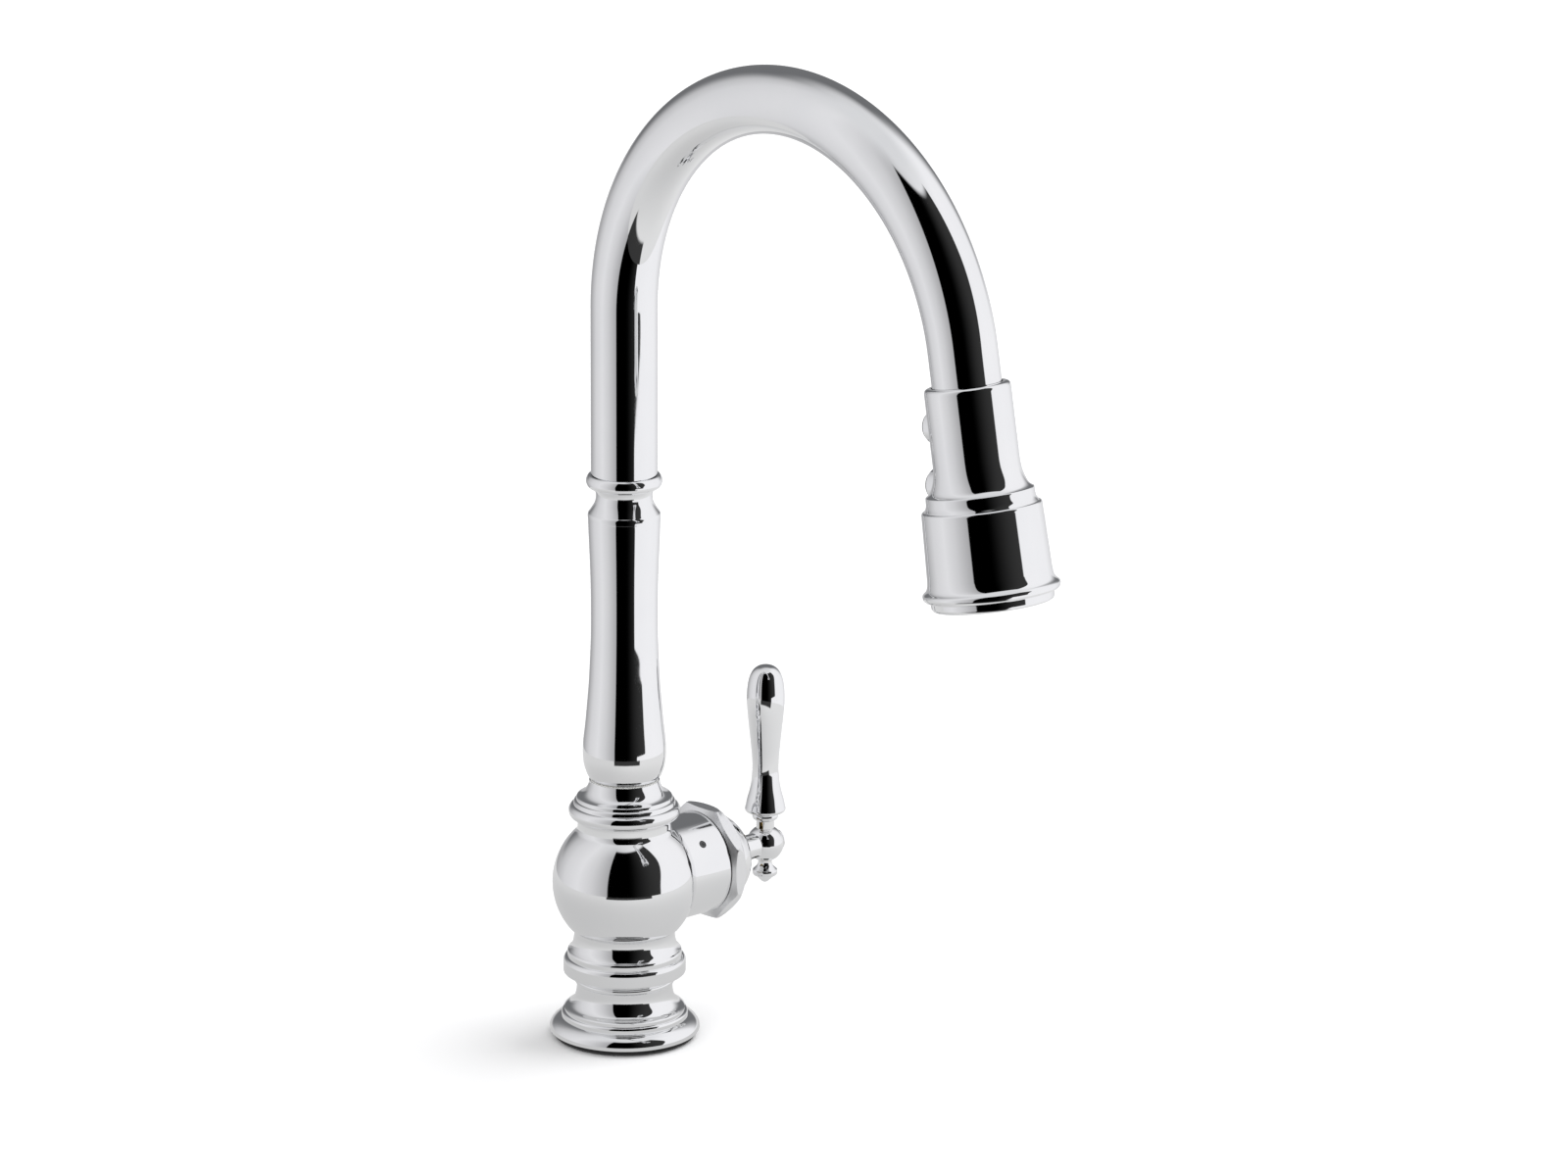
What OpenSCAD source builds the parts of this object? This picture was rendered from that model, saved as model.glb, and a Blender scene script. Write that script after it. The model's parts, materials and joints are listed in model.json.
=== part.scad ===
// Pull-down kitchen faucet, single side lever, high arched swivel spout.
// Origin: centre of the base on the deck, +Z up, spout towards -Y, lever side +X.
// All sizes in millimetres. The head is drawn about its own tilted axis.

/* [Spout] */
// Outside diameter of the bent spout tube, 1-1/8 in
tube_dia = 28.6; // [23.5:0.1:35]
// Wall of the bent spout tube
tube_wall = 1.8; // [1:0.1:3]
// Centreline radius of the arch
neck_radius = 106; // [85:1:130]
// Sweep of the arch from vertical, degrees
neck_sweep = 169; // [150:1:178]
// Length of the plain tube between the column bead and the arch
riser_length = 73.1; // [40:0.1:120]
// Height of the turned column from its joint to its shoulder
column_length = 119; // [95:0.5:150]
// Straight tube after the arch, most of it inside the spray head
tube_tail = 20; // [15:0.5:30]

/* [Body] */
// Diameter of the flange on the deck
base_dia = 65.6; // [58:0.2:80]
// Height of the turned stem below the ball
stem_height = 49.2; // [41:0.2:60]
// Radius of the ball that holds the valve
ball_radius = 31.4; // [29:0.1:38]
// Outside radius of the side housing
housing_radius = 22.6; // [21.5:0.1:27.5]
// Distance from the faucet axis to the end of the side housing
housing_reach = 42.2; // [38:0.1:52]

/* [Handle] */
// Distance from the end of the housing to the lever's axis
lever_offset = 39.6; // [33:0.1:48]
// Height of the lever tip above the valve axis
lever_height = 82; // [66:0.5:100]
// Radius of the hub ball
hub_radius = 8.8; // [7.5:0.1:11]
// Largest tilt of the lever, degrees
lever_tilt = 20; // [12:1:24]

/* [Spray head] */
// Length of the grip with its step ring
grip_length = 49.8; // [42:0.1:62]
// Wall of the grip at its rim
grip_wall = 3; // [2:0.1:5]
// Length of the cup below the step ring
cup_length = 36.9; // [31:0.1:46]
// How far the cup stands out from the grip
cup_step = 7; // [6.5:0.1:10]
// Button travel
button_travel = 1.2; // [0.6:0.1:1.4]

/* [Mounting] */
// Outside radius of the threaded shank, G 1 pipe thread
shank_radius = 16.6; // [15.5:0.1:17]
// Thickness of the deck that is clamped
deck_thickness = 30; // [10:1:45]
// Length of the shank below the deck
shank_length = 62; // [50:1:80]
// Length of the supply tails below the shank
tail_length = 50; // [20:1:200]

/* [Clearances] */
// Gap between parts that move past one another
move_gap = 0.3; // [0.2:0.05:0.6]
// Radial running fit of a shaft in its bush
run_fit = 0.05; // [0.01:0.01:0.1]

/* [Hidden] */
$fn = 64;
tube_r = tube_dia / 2;
tube_in = tube_r - tube_wall;
gasket_h = 2;
ball_z = stem_height - 0.438 + sqrt(ball_radius * ball_radius - 23.4 * 23.4);
collar_z = ball_z + 6.722 + sqrt(ball_radius * ball_radius - 21.4 * 21.4);
column_z = collar_z + 17.6;
shoulder_z = column_z + column_length;
bead_z = shoulder_z + 11;
tube_z = bead_z + 4.4;
arc_z = bead_z + 6.4 + riser_length;
tilt = 180 - neck_sweep;
head_y = -neck_radius * (1 + cos(tilt));
head_z = arc_z + neck_radius * sin(tilt);

// Spray hose, and the ball joint at its end
hose_r = 5.5;
hose_in = 3.5;
ferrule_r = 6.6;
joint_r = 6.8;
joint_u = 34;

// Supply tails and the deck fixing
tail_r = 3.2;
tail_ring = 9.6;
thread_r = 4.76;
washer_r = 28;
washer_h = 2;
nut_h = 12;
screw_r = 2.5;
screw_ring = shank_radius + 5.2;

// Spout swivel
sleeve_r = 13.2;
sleeve_in = 10.4;
bush_r = sleeve_r + 1.25;
clip_r = 15.6;
clip_z = collar_z - 11;
oring_r = 0.85;

// Valve, its housing and the lever
cart_r = housing_radius - 5.1;
retainer_r = housing_radius - 2.8;
// A cartridge too wide for the room under the swivel's clip sits beside the clip.
seat_x = ball_z + cart_r > clip_z - 0.4 ? clip_r + 0.4 : 13;
seal_h = 0.8;
cart_h = housing_reach - 2.2 - seat_x - seal_h;
dome_x = housing_reach + 1.7;
dome_r = housing_radius - 0.2;
nut_x = housing_reach + 3.9;
nut_r = housing_radius + 3.8;
pivot_x = dome_x + dome_r - 6.1;
pin_r = 1.5;
stem_r = 5.6;
opening_r = stem_r / cos(lever_tilt) + 4.6 * tan(lever_tilt) + 4 * move_gap;
lever_x = housing_reach + lever_offset;
rod_r = 3;

// Spray head, with u measured down its own axis
grip_in = tube_r + 0.4;
grip_radius = grip_in + grip_wall;
cup_radius = grip_radius + cup_step;
cup_in = cup_radius - 2.3;
face_r = cup_in - 0.8;
aerator_r = face_r - 12.4;
valve_r = grip_radius - 5.1;
rim_u = 13.2;
step_u = rim_u + grip_length - 6;
cup_u = rim_u + grip_length;
flange_u = cup_u + cup_length;
face_u = flange_u + 3.8;

// Buttons
cap_r = 6.4;
boss_r = 7.3;
upper_u = rim_u + 17.3;
lower_u = cup_u - 8.4;
upper_y = grip_radius + 6.3;
lower_y = grip_radius + 8.6;
plunger_y = valve_r + button_travel + 0.5;
cap_y = plunger_y + 2;

// ---------- helpers ----------
// Points are [radius, height]; dz lifts the whole list.
function lift(p, dz) = [for (q = p) [q[0], q[1] + dz]];
// The same with the height turned upside down, for the head's own axis.
function down(p) = [for (q = p) [q[0], -q[1]]];

module ring(ro, ri, z0, z1) {
    translate([0, 0, z0]) difference() {
        cylinder(r = ro, h = z1 - z0);
        translate([0, 0, -1]) cylinder(r = ri, h = z1 - z0 + 2);
    }
}

module along_x(x) {
    translate([x, 0, ball_z]) rotate([0, 90, 0]) children();
}

module at_head() {
    translate([0, head_y, head_z]) rotate([-tilt, 0, 0]) children();
}

module ring_x(ro, ri, x0, x1) {
    along_x(0) ring(ro, ri, x0, x1);
}

module ring_u(ro, ri, u0, u1) {
    at_head() ring(ro, ri, -u1, -u0);
}

// ---------- base and body ----------
module deck_gasket() {
    color("black") ring(base_dia / 2 - 2, shank_radius + 0.9, 0, gasket_h);
}

module base_flange() {
    e = base_dia / 2 - 32.8;
    color("silver") difference() {
        rotate_extrude() polygon([
            [shank_radius + 0.5, gasket_h], [31.5 + e, gasket_h], [32.4 + e, 2.5], [32.8 + e, 3.4],
            [32.6 + e, 4.6], [31.8 + e, 6], [30.5 + e, 7.3], [28.9 + e, 8.3], [27.6, 8.8], [27.6, 10.2],
            [27.2, 10.9], [26.4, 11.3], [shank_radius + 0.5, 11.3]
        ]);
        translate([0, 0, -1]) cylinder(r = shank_radius + 0.4, h = 20);
    }
}

module stem_profile() {
    polygon([
        [0, 11.3], [26.4, 11.3], [26.4, 12.7], [25.9, 13], [24.2, 13.9], [22.7, 15.4], [21.6, 17.6],
        [21, 20.4], [20.9, 22.6], [21.1, 24], [21.7, 24.7], [21.9, 25.4], [21.7, 26.1], [21.3, 26.7],
        [22.2, 27.9], [24.5, 28.6], [26.3, 28.9], [26.7, 29.5], [26.7, 34.2], [26.4, 35.1], [25.7, 35.9],
        [25, 36.3], [25, 38], [24.7, 38.9], [24.2, 39.4], [23.1, 40.8], [22.4, 42.8], [22.05, 45],
        [22, stem_height - 2], [22.3, stem_height - 0.7], [23.4, stem_height + 0.4], [0, stem_height + 1]
    ]);
}

module body_top_profile() {
    polygon(lift([
        [0, -12], [22.5, -10.3], [22, -8.4], [21.4, -6.5], [20.7, -4.3], [20.4, -2.2], [20.6, -0.8],
        [21.2, 0], [0, 0]
    ], collar_z));
}

module body_shell() {
    color("silver") difference() {
        union() {
            rotate_extrude() stem_profile();
            translate([0, 0, ball_z]) sphere(r = ball_radius);
            rotate_extrude() body_top_profile();
            along_x(16) cylinder(r = housing_radius, h = housing_reach - 16);
        }
        translate([0, 0, 11]) cylinder(r = shank_radius, h = stem_height - 4);
        intersection() {
            translate([0, 0, ball_z]) sphere(r = ball_radius - 3.2);
            cylinder(r = 60, h = collar_z - 9.4);
        }
        translate([0, 0, ball_z]) cylinder(r = sleeve_r + 0.55, h = 60);
        along_x(8) cylinder(r = cart_r, h = 60);
        along_x(housing_reach - 5) cylinder(r = retainer_r, h = 10);
        port_axis() cylinder(r = 1.7, h = 3);
    }
}

// Blind hole in the housing for the small plug.
module port_axis() {
    along_x(housing_reach - 12.2) rotate([0, 0, -130]) translate([housing_radius - 2, 0, 0])
        rotate([0, 90, 0]) children();
}

module port_plug() {
    color("dimgray") port_axis() cylinder(r = 1.65, h = 1.8);
}

module collar_ring() {
    color("silver") rotate_extrude() polygon(lift([
        [bush_r, 0], [21.9, 0], [23.2, 0.6], [24, 1.6], [24.2, 2.7], [24.2, 3.7], [23.8, 4.8],
        [23, 5.6], [22.2, 6], [22.1, 6.8], [21.7, 7.6], [21, 8], [20.9, 8.2], [20.9, 9.1], [20.5, 9.6],
        [18.7, 10.4], [17.1, 11.8], [16, 13.8], [15.4, 15.9], [15.3, 16.9], [bush_r, 16.9]
    ], collar_z));
}

module swivel_bearing() {
    color("white") ring(bush_r, sleeve_r + run_fit, collar_z, collar_z + 16.9);
}

module thrust_washer() {
    color("white") ring(bush_r + 0.25, sleeve_r + run_fit, collar_z + 16.9, collar_z + 17.3);
}

// ---------- under the deck ----------
module threaded_shank() {
    color("gold") ring(shank_radius, shank_radius - 2.8, -shank_length, 24);
}

module deck_washer() {
    color("black") ring(washer_r, shank_radius + 0.4, -deck_thickness - washer_h, -deck_thickness);
}

module clamp_washer() {
    color("silver") translate([0, 0, -deck_thickness - 2 * washer_h])
        ring(washer_r, shank_radius + 0.4, 0, washer_h);
}

module mounting_nut() {
    color("gold") translate([0, 0, -deck_thickness - 2 * washer_h - nut_h]) difference() {
        union() {
            cylinder(r = screw_ring + 5.2, h = 4, $fn = 6);
            cylinder(r = screw_ring + 4.7, h = 5);
            cylinder(r = screw_ring + 0.2, h = nut_h);
            screw_spots() cylinder(r = 2 * screw_r, h = nut_h);
        }
        translate([0, 0, -1]) cylinder(r = shank_radius, h = nut_h + 2);
        screw_spots() translate([0, 0, -1]) cylinder(r = screw_r, h = nut_h + 2);
    }
}

// Places of the two clamp screws.
module screw_spots() {
    for (a = [0, 180]) rotate([0, 0, a]) translate([screw_ring, 0, 0]) children();
}

module clamp_screws() {
    color("silver") translate([0, 0, -deck_thickness - 2 * washer_h]) mirror([0, 0, 1]) screw_spots() {
        cylinder(r = screw_r, h = nut_h + 4);
        translate([0, 0, nut_h + 3]) cylinder(r = 4.2, h = 4, $fn = 6);
    }
}

module tail_at(a) {
    rotate([0, 0, a]) translate([tail_ring, 0, 0]) children();
}

module tail_tube() {
    ring(tail_r, tail_r - 0.8, -shank_length - tail_length, ball_z - 9.7);
}

module hot_tail() {
    color("orange") tail_at(60) tail_tube();
}

module cold_tail() {
    color("orange") tail_at(-60) tail_tube();
}

module outlet_tail() {
    color("orange") tail_at(180) tail_tube();
}

module tail_fittings() {
    end_z = -shank_length - tail_length;
    color("gold") for (a = [60, -60, 180]) tail_at(a) difference() {
        union() {
            translate([0, 0, end_z - 16]) cylinder(r = thread_r, h = 17);
            translate([0, 0, end_z + 1]) cylinder(r = 6, h = 6, $fn = 6);
        }
        translate([0, 0, end_z - 17]) cylinder(r = tail_r - 0.8, h = 30);
        translate([0, 0, end_z]) cylinder(r = tail_r, h = 30);
    }
}

// ---------- valve ----------
module valve_manifold() {
    color("gold") difference() {
        union() {
            translate([0, 0, ball_z - 16]) cylinder(r = 14, h = 30);
            along_x(4) cylinder(r = cart_r - 0.3, h = seat_x - 4);
        }
        translate([seat_x, -20, ball_z - 20]) cube(40);
        translate([0, 0, ball_z - 30]) cylinder(r = hose_r + 1.3, h = 60);
        translate([0, 0, collar_z - 14.3]) cylinder(r = sleeve_r + 0.55, h = 20);
        translate([0, 0, clip_z - 0.4]) cylinder(r = clip_r + 0.4, h = 20);
        for (a = [60, -60, 180]) tail_at(a) {
            translate([0, 0, ball_z - 49.7]) cylinder(r = tail_r, h = 40);
            translate([0, 0, ball_z - 12]) cylinder(r = 2, h = 14);
        }
        for (a = [60, -60]) translate([2, tail_ring * sin(a), ball_z + 1]) rotate([0, 90, 0])
            cylinder(r = 2, h = 20);
    }
}

module cartridge_seal() {
    color("black") ring_x(cart_r - 2.5, 2, seat_x, seat_x + seal_h);
}

module cartridge_body() {
    color("gainsboro") along_x(seat_x + seal_h) difference() {
        cylinder(r = cart_r, h = cart_h);
        translate([0, 0, 3.8]) cylinder(r = cart_r - 5, h = cart_h - 7.8);
        translate([0, 0, cart_h - 7]) cylinder(r = 8 + run_fit, h = 10);
        translate([0, 0, -1]) cylinder(r = 2, h = 6);
    }
}

module fixed_disc() {
    color("white") ring_x(cart_r - 5, 2, seat_x + 4.6, seat_x + 7.6);
}

module moving_disc() {
    color("ivory") ring_x(cart_r - 6.5, 2, seat_x + 7.6 + move_gap, seat_x + 10.8);
}

module cartridge_retainer() {
    color("gold") ring_x(retainer_r, 10, seat_x + seal_h + cart_h, dome_x + 0.9);
}

module valve_spindle() {
    c = pivot_x - 3.5;
    color("gold") union() {
        along_x(seat_x + 10.8) cylinder(r = cart_r - 6.5, h = 3);
        along_x(seat_x + 13.8) cylinder(r = 8, h = c - seat_x - 13.8);
        for (s = [1, -1]) difference() {
            union() {
                translate([c - 1, s * 4.4 - 1.4, ball_z - 3.2]) cube([4.5, 2.8, 6.4]);
                translate([pivot_x, s * 4.4 - 1.4, ball_z]) rotate([-90, 0, 0]) cylinder(r = 3.2, h = 2.8);
            }
            translate([pivot_x, s * 4.4 - 2, ball_z]) rotate([-90, 0, 0]) cylinder(r = pin_r, h = 4);
        }
    }
}

module hinge_pin() {
    color("silver") translate([pivot_x, -5.8, ball_z]) rotate([-90, 0, 0]) cylinder(r = pin_r, h = 11.6);
}

module bonnet_nut() {
    color("silver") along_x(nut_x) difference() {
        intersection() {
            rotate([0, 0, 22.5]) translate([0, 0, -4]) cylinder(r = nut_r, h = 8.5, $fn = 8);
            rotate_extrude() polygon([
                [dome_r - 1.8, -3.6], [nut_r - 2.9, -3.6], [nut_r - 0.4, -2.4], [nut_r + 0.02, -1.6],
                [nut_r + 0.02, 0.2], [nut_r - 0.8, 1.5], [nut_r - 2, 2.9], [nut_r - 3.6, 4.1],
                [dome_r - 1.8, 4.1]
            ]);
        }
        translate([0, 0, dome_x - nut_x]) sphere(r = dome_r);
    }
}

module bonnet_dome() {
    color("silver") along_x(dome_x) difference() {
        intersection() {
            sphere(r = dome_r);
            translate([0, 0, -1]) cylinder(r = 40, h = 60);
        }
        translate([0, 0, -2]) cylinder(r = retainer_r, h = 2.9);
        intersection() {
            sphere(r = dome_r - 1.8);
            translate([0, 0, 0.9]) cylinder(r = 40, h = 60);
        }
        cylinder(r = opening_r, h = 60);
    }
}

// ---------- spout ----------
module vase_column() {
    s = shoulder_z;
    z = column_z;
    l = column_length;
    color("silver") rotate_extrude() polygon([
        [sleeve_r, z], [14.9, z], [15.4, z + 0.6], [16.3, z + 2.2], [17.3, z + 5.1], [17.95, z + 8.7],
        [18.1, z + 12], [17.9, z + 16.5], [17.2, z + 0.19 * l], [16.3, z + 0.27 * l], [15.5, z + 0.35 * l],
        [14.9, z + 0.445 * l], [14.5, z + 0.53 * l], [14.4, z + 0.61 * l], [14.45, z + 0.7 * l],
        [14.75, z + 0.8 * l], [15.2, z + 0.89 * l], [15.6, s - 2.6], [15.65, s - 0.6], [15.4, s + 0.2],
        [14.6, s + 1.3], [13.4, s + 3], [12.5, s + 5], [12.15, s + 7], [12.25, s + 8.7], [12.7, s + 10],
        [13.2, s + 11], [sleeve_in, s + 11], [sleeve_in, z + 9], [sleeve_r, z + 9]
    ]);
}

module swivel_sleeve() {
    color("gold") difference() {
        ring(sleeve_r, sleeve_in, collar_z - 14, column_z + 9);
        for (z = [collar_z - 3.4, collar_z - 7])
            ring(sleeve_r + 1, sleeve_r - 1.2, z - 0.95, z + 0.95);
        ring(sleeve_r + 1, sleeve_r - 1, clip_z, clip_z + 1.3);
    }
}

module swivel_orings() {
    color("black") for (z = [collar_z - 3.4, collar_z - 7])
        translate([0, 0, z]) rotate_extrude() translate([sleeve_r - 0.35, 0]) circle(r = oring_r);
}

module swivel_clip() {
    color("silver") difference() {
        ring(clip_r, sleeve_r - 1, clip_z, clip_z + 1.3);
        translate([0, -3, clip_z - 1]) cube([20, 6, 4]);
    }
}

module neck_bead() {
    t = tube_r;
    color("silver") rotate_extrude() polygon(lift([
        [sleeve_in, 0], [t - 0.7, 0], [t + 0.7, 0.5], [t + 1.7, 1.6], [t + 2.1, 3], [t + 2, 4.1],
        [t + 1.5, 5.2], [t + 0.8, 6], [t + 0.5, 6.2], [t + 0.4, 5.5], [t, 5.4], [t, 4.4], [sleeve_in, 4.4]
    ], bead_z));
}

module gooseneck_tube() {
    color("silver") difference() {
        neck_path(tube_r, tube_z);
        neck_path(tube_in, tube_z - 1);
    }
}

// Solid rod of radius r along the spout: riser and arch.
module neck_path(r, z0) {
    translate([0, 0, z0]) cylinder(r = r, h = arc_z - z0);
    translate([0, -neck_radius, arc_z]) rotate([90, 0, 90])
        rotate_extrude(angle = neck_sweep) translate([neck_radius, 0]) circle(r = r);
}

module spout_tip() {
    color("silver") ring_u(tube_r, tube_in, 0, tube_tail);
}

module spray_hose() {
    color("dimgray") difference() {
        neck_path(hose_r, -shank_length - 10);
        neck_path(hose_in, -shank_length - 11);
    }
}

module dock_ring() {
    color("black") ring_u(tube_in, 7.6, tube_tail - 12, tube_tail - 3);
}

module dock_magnet() {
    color("dimgray") ring_u(tube_in, 8.2, tube_tail - 3, tube_tail);
}

// ---------- lever ----------
module handle_stem() {
    x0 = pivot_x + 5.4;
    color("silver") difference() {
        union() {
            translate([pivot_x, -2.6, ball_z]) rotate([-90, 0, 0]) cylinder(r = rod_r, h = 5.2);
            translate([pivot_x, -2.6, ball_z - 3]) cube([6.4, 5.2, 6]);
            along_x(x0) cylinder(r = stem_r, h = lever_x - 6.6 - x0);
        }
        translate([pivot_x, -8, ball_z]) rotate([-90, 0, 0]) cylinder(r = pin_r + run_fit, h = 16);
    }
}

module hub_ball() {
    color("silver") difference() {
        translate([lever_x, 0, ball_z]) sphere(r = hub_radius);
        along_x(lever_x - 20) cylinder(r = stem_r, h = 13.4);
        translate([lever_x, 0, ball_z - 20]) cylinder(r = rod_r, h = 40);
        along_x(lever_x + hub_radius - 1.2) cylinder(r = 5, h = 4);
    }
}

module hub_cap() {
    color("silver") along_x(lever_x + hub_radius - 1.2) union() {
        cylinder(r = 4.6, h = 1);
        cylinder(r = 3.8, h = 1.3);
    }
}

module lever_rod() {
    color("gold") translate([lever_x, 0, ball_z - 14]) cylinder(r = rod_r, h = 34);
}

// Height above the hub's centre at which a part of radius r seats on the ball.
function hub_seat(r) = sqrt(hub_radius * hub_radius - r * r) + 0.03;

module lever_collar() {
    h = hub_radius + 5.9;
    color("silver") translate([lever_x, 0, ball_z]) rotate_extrude() polygon([
        [rod_r, hub_seat(rod_r)], [4, hub_seat(4)], [4, h - 3.4], [5.4, h - 2.6], [5.8, h - 1.6],
        [5.5, h - 0.5], [5.1, h], [rod_r, h]
    ]);
}

module lever_grip() {
    h = lever_height;
    b = hub_radius + 5.9;
    color("silver") translate([lever_x, 0, ball_z]) difference() {
        rotate_extrude() polygon([
            [0, b], [5.2, b], [8.5, b + 0.9], [9.1, b + 1.8], [8.9, b + 2.9], [8.1, 0.25 * h],
            [7, 0.3 * h], [6.2, 0.357 * h], [5.85, 0.415 * h], [6, 0.48 * h], [6.6, 0.565 * h],
            [7.4, 0.663 * h], [8.1, 0.749 * h], [8.35, h - 14.9], [8.1, h - 10.1], [7.3, h - 5.8],
            [5.9, h - 2.7], [3.7, h - 0.7], [1.6, h - 0.05], [0, h]
        ]);
        translate([0, 0, -14]) cylinder(r = rod_r, h = 34);
    }
}

module lever_finial() {
    r = hub_radius;
    top = -hub_seat(3.05);
    color("silver") translate([lever_x, 0, ball_z]) difference() {
        rotate_extrude() polygon([
            [0, -r - 9.9], [1.2, -r - 9.7], [2.6, -r - 9], [4, -r - 7.9], [4.4, -r - 7.3], [5.2, -r - 6.5],
            [5.6, -r - 5.4], [5.6, -r - 4.1], [5.3, -r - 3.2], [4.2, -r - 2.2], [3.2, -r - 1.3],
            [3.05, -r - 0.4], [3.05, top], [0, top]
        ]);
        translate([0, 0, -14]) cylinder(r = rod_r, h = 34);
    }
}

// ---------- hose end ----------
module hose_ferrule() {
    color("gold") ring_u(ferrule_r, hose_in, 6, 26);
}

module swivel_ball() {
    color("gold") at_head() difference() {
        union() {
            translate([0, 0, -joint_u]) cylinder(r = 4.5, h = joint_u - 26);
            translate([0, 0, -joint_u]) sphere(r = joint_r);
        }
        translate([0, 0, -joint_u - 16]) cylinder(r = 2.8, h = 40);
    }
}

module hose_tail() {
    color("dimgray") ring_u(hose_r, hose_in, 0, 6);
}

// ---------- spray head ----------
module grip_profile() {
    g = grip_radius;
    polygon(down([
        [grip_in, rim_u], [g - 1.5, rim_u + 0.1], [g - 0.5, rim_u + 0.7], [g, rim_u + 1.8], [g, rim_u + 20],
        [g, step_u - 13], [g + 0.15, step_u - 9.3], [g + 0.75, step_u - 5.8], [g + 1.8, step_u - 2.9],
        [g + 3.1, step_u - 0.8], [g + 4, step_u - 0.1], [g + 4.5, step_u + 0.5], [g + 4.6, step_u + 3],
        [g + 4.9, step_u + 4.6], [g + 5.6, cup_u - 0.3], [g + 5.8, cup_u], [g - 0.2, cup_u],
        [g - 2.2, step_u - 6], [g - 2.8, rim_u + 11], [grip_in, rim_u + 10.6]
    ]));
}

// Two round bars square to the grip, where the buttons are; each ends inset below its cap.
module boss_pair(r, inset) {
    y0 = grip_radius - 3.7;
    for (b = [[upper_u, upper_y], [lower_u, lower_y]])
        translate([0, y0, -b[0]]) rotate([-90, 0, 0]) cylinder(r = r, h = b[1] - y0 - inset);
}

module grip_shell() {
    color("silver") at_head() difference() {
        union() {
            rotate_extrude() grip_profile();
            difference() {
                boss_pair(boss_r, 2.1);
                translate([0, 0, -cup_u]) cylinder(r = grip_radius - 1.5, h = grip_length);
            }
        }
        boss_pair(cap_r + move_gap, 0);
    }
}

module latch_plate() {
    color("gray") ring_u(grip_in, ferrule_r + 1.4, tube_tail + 0.4, tube_tail + 2.2);
}

module socket_nut() {
    color("dimgray") at_head() difference() {
        translate([0, 0, -42]) cylinder(r = valve_r, h = 19.8);
        translate([0, 0, -joint_u]) sphere(r = joint_r + run_fit);
        translate([0, 0, -joint_u]) cylinder(r = 5.4, h = 20);
        translate([0, 0, -26.3]) cylinder(r = ferrule_r + 0.6, h = 10);
        translate([0, 0, -50]) cylinder(r = hose_in, h = 16);
    }
}

module inner_body() {
    color("dimgray") ring_u(valve_r, 4, 42, cup_u + 2);
}

module diverter_body() {
    color("dimgray") at_head() difference() {
        translate([0, 0, -flange_u - 1]) cylinder(r = cup_in, h = flange_u - cup_u - 1);
        translate([0, 0, -flange_u + 1]) cylinder(r = 4, h = 60);
        difference() {
            translate([0, 0, -flange_u - 2]) cylinder(r = cup_in - 2.4, h = 5);
            translate([0, 0, -flange_u - 3]) cylinder(r = aerator_r + 1.8, h = 8);
        }
    }
}

module cup_profile() {
    c = cup_radius;
    polygon(down([
        [cup_in, cup_u], [c - 0.7, cup_u], [c - 0.2, cup_u + 0.4], [c, cup_u + 1.2],
        [c + 0.9, flange_u - 7.8], [c + 1.2, flange_u - 6.2], [c + 2.1, flange_u - 4.5],
        [c + 3.2, flange_u - 3.5], [c + 3.6, flange_u - 2.6], [c + 3.3, flange_u - 1.4],
        [c + 2.2, flange_u - 0.4], [c + 0.9, flange_u], [cup_in, flange_u]
    ]));
}

module cup_shell() {
    color("silver") at_head() rotate_extrude() cup_profile();
}

module face_skirt() {
    c = cup_radius;
    color("silver") at_head() rotate_extrude() polygon(down([
        [face_r, flange_u + 1], [cup_in, flange_u + 1], [cup_in, flange_u], [c + 0.6, flange_u],
        [c + 0.4, face_u - 1.5], [c - 0.2, face_u - 0.5], [c - 1.1, face_u], [face_r, face_u]
    ]));
}

module nozzle_spots() {
    for (k = [[16, 9.4], [20, 5.6], [26, 1.8]])
        for (i = [0:k[0] - 1])
            rotate([0, 0, 360 / k[0] * i]) translate([face_r - k[1], 0, 0]) children();
}

module spray_face() {
    color("gray") at_head() difference() {
        translate([0, 0, -face_u + 0.6]) cylinder(r = face_r, h = 1.8);
        translate([0, 0, -face_u]) cylinder(r = aerator_r, h = 10);
        nozzle_spots() translate([0, 0, -face_u]) cylinder(r = 0.9, h = 6, $fn = 16);
    }
}

module spray_nozzles() {
    color("black") at_head() nozzle_spots() difference() {
        translate([0, 0, -face_u - 0.1]) cylinder(r1 = 0.6, r2 = 0.9, h = 0.7, $fn = 16);
        translate([0, 0, -face_u - 1]) cylinder(r = 0.35, h = 6, $fn = 16);
    }
}

module aerator() {
    color("lightgray") at_head() difference() {
        translate([0, 0, -face_u + 0.3]) cylinder(r = aerator_r, h = 2.4);
        translate([0, 0, -face_u - 1]) cylinder(r = aerator_r - 1.6, h = 2.3);
        for (i = [0:11]) rotate([0, 0, 30 * i]) translate([5, 0, -face_u])
            cylinder(r = 0.8, h = 8, $fn = 16);
        translate([0, 0, -face_u]) cylinder(r = 0.9, h = 8, $fn = 16);
    }
}

// ---------- buttons ----------
module button(u, y) {
    at_head() translate([0, 0, -u]) rotate([-90, 0, 0]) intersection() {
        union() {
            translate([0, 0, cap_y]) cylinder(r = cap_r, h = y - cap_y);
            translate([0, 0, plunger_y]) cylinder(r = 2.6, h = 3);
        }
        translate([0, 0, y - 26]) sphere(r = 26);
    }
}

module button_upper() {
    color("dimgray") button(upper_u, upper_y);
}

module button_lower() {
    color("dimgray") button(lower_u, lower_y);
}

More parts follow.
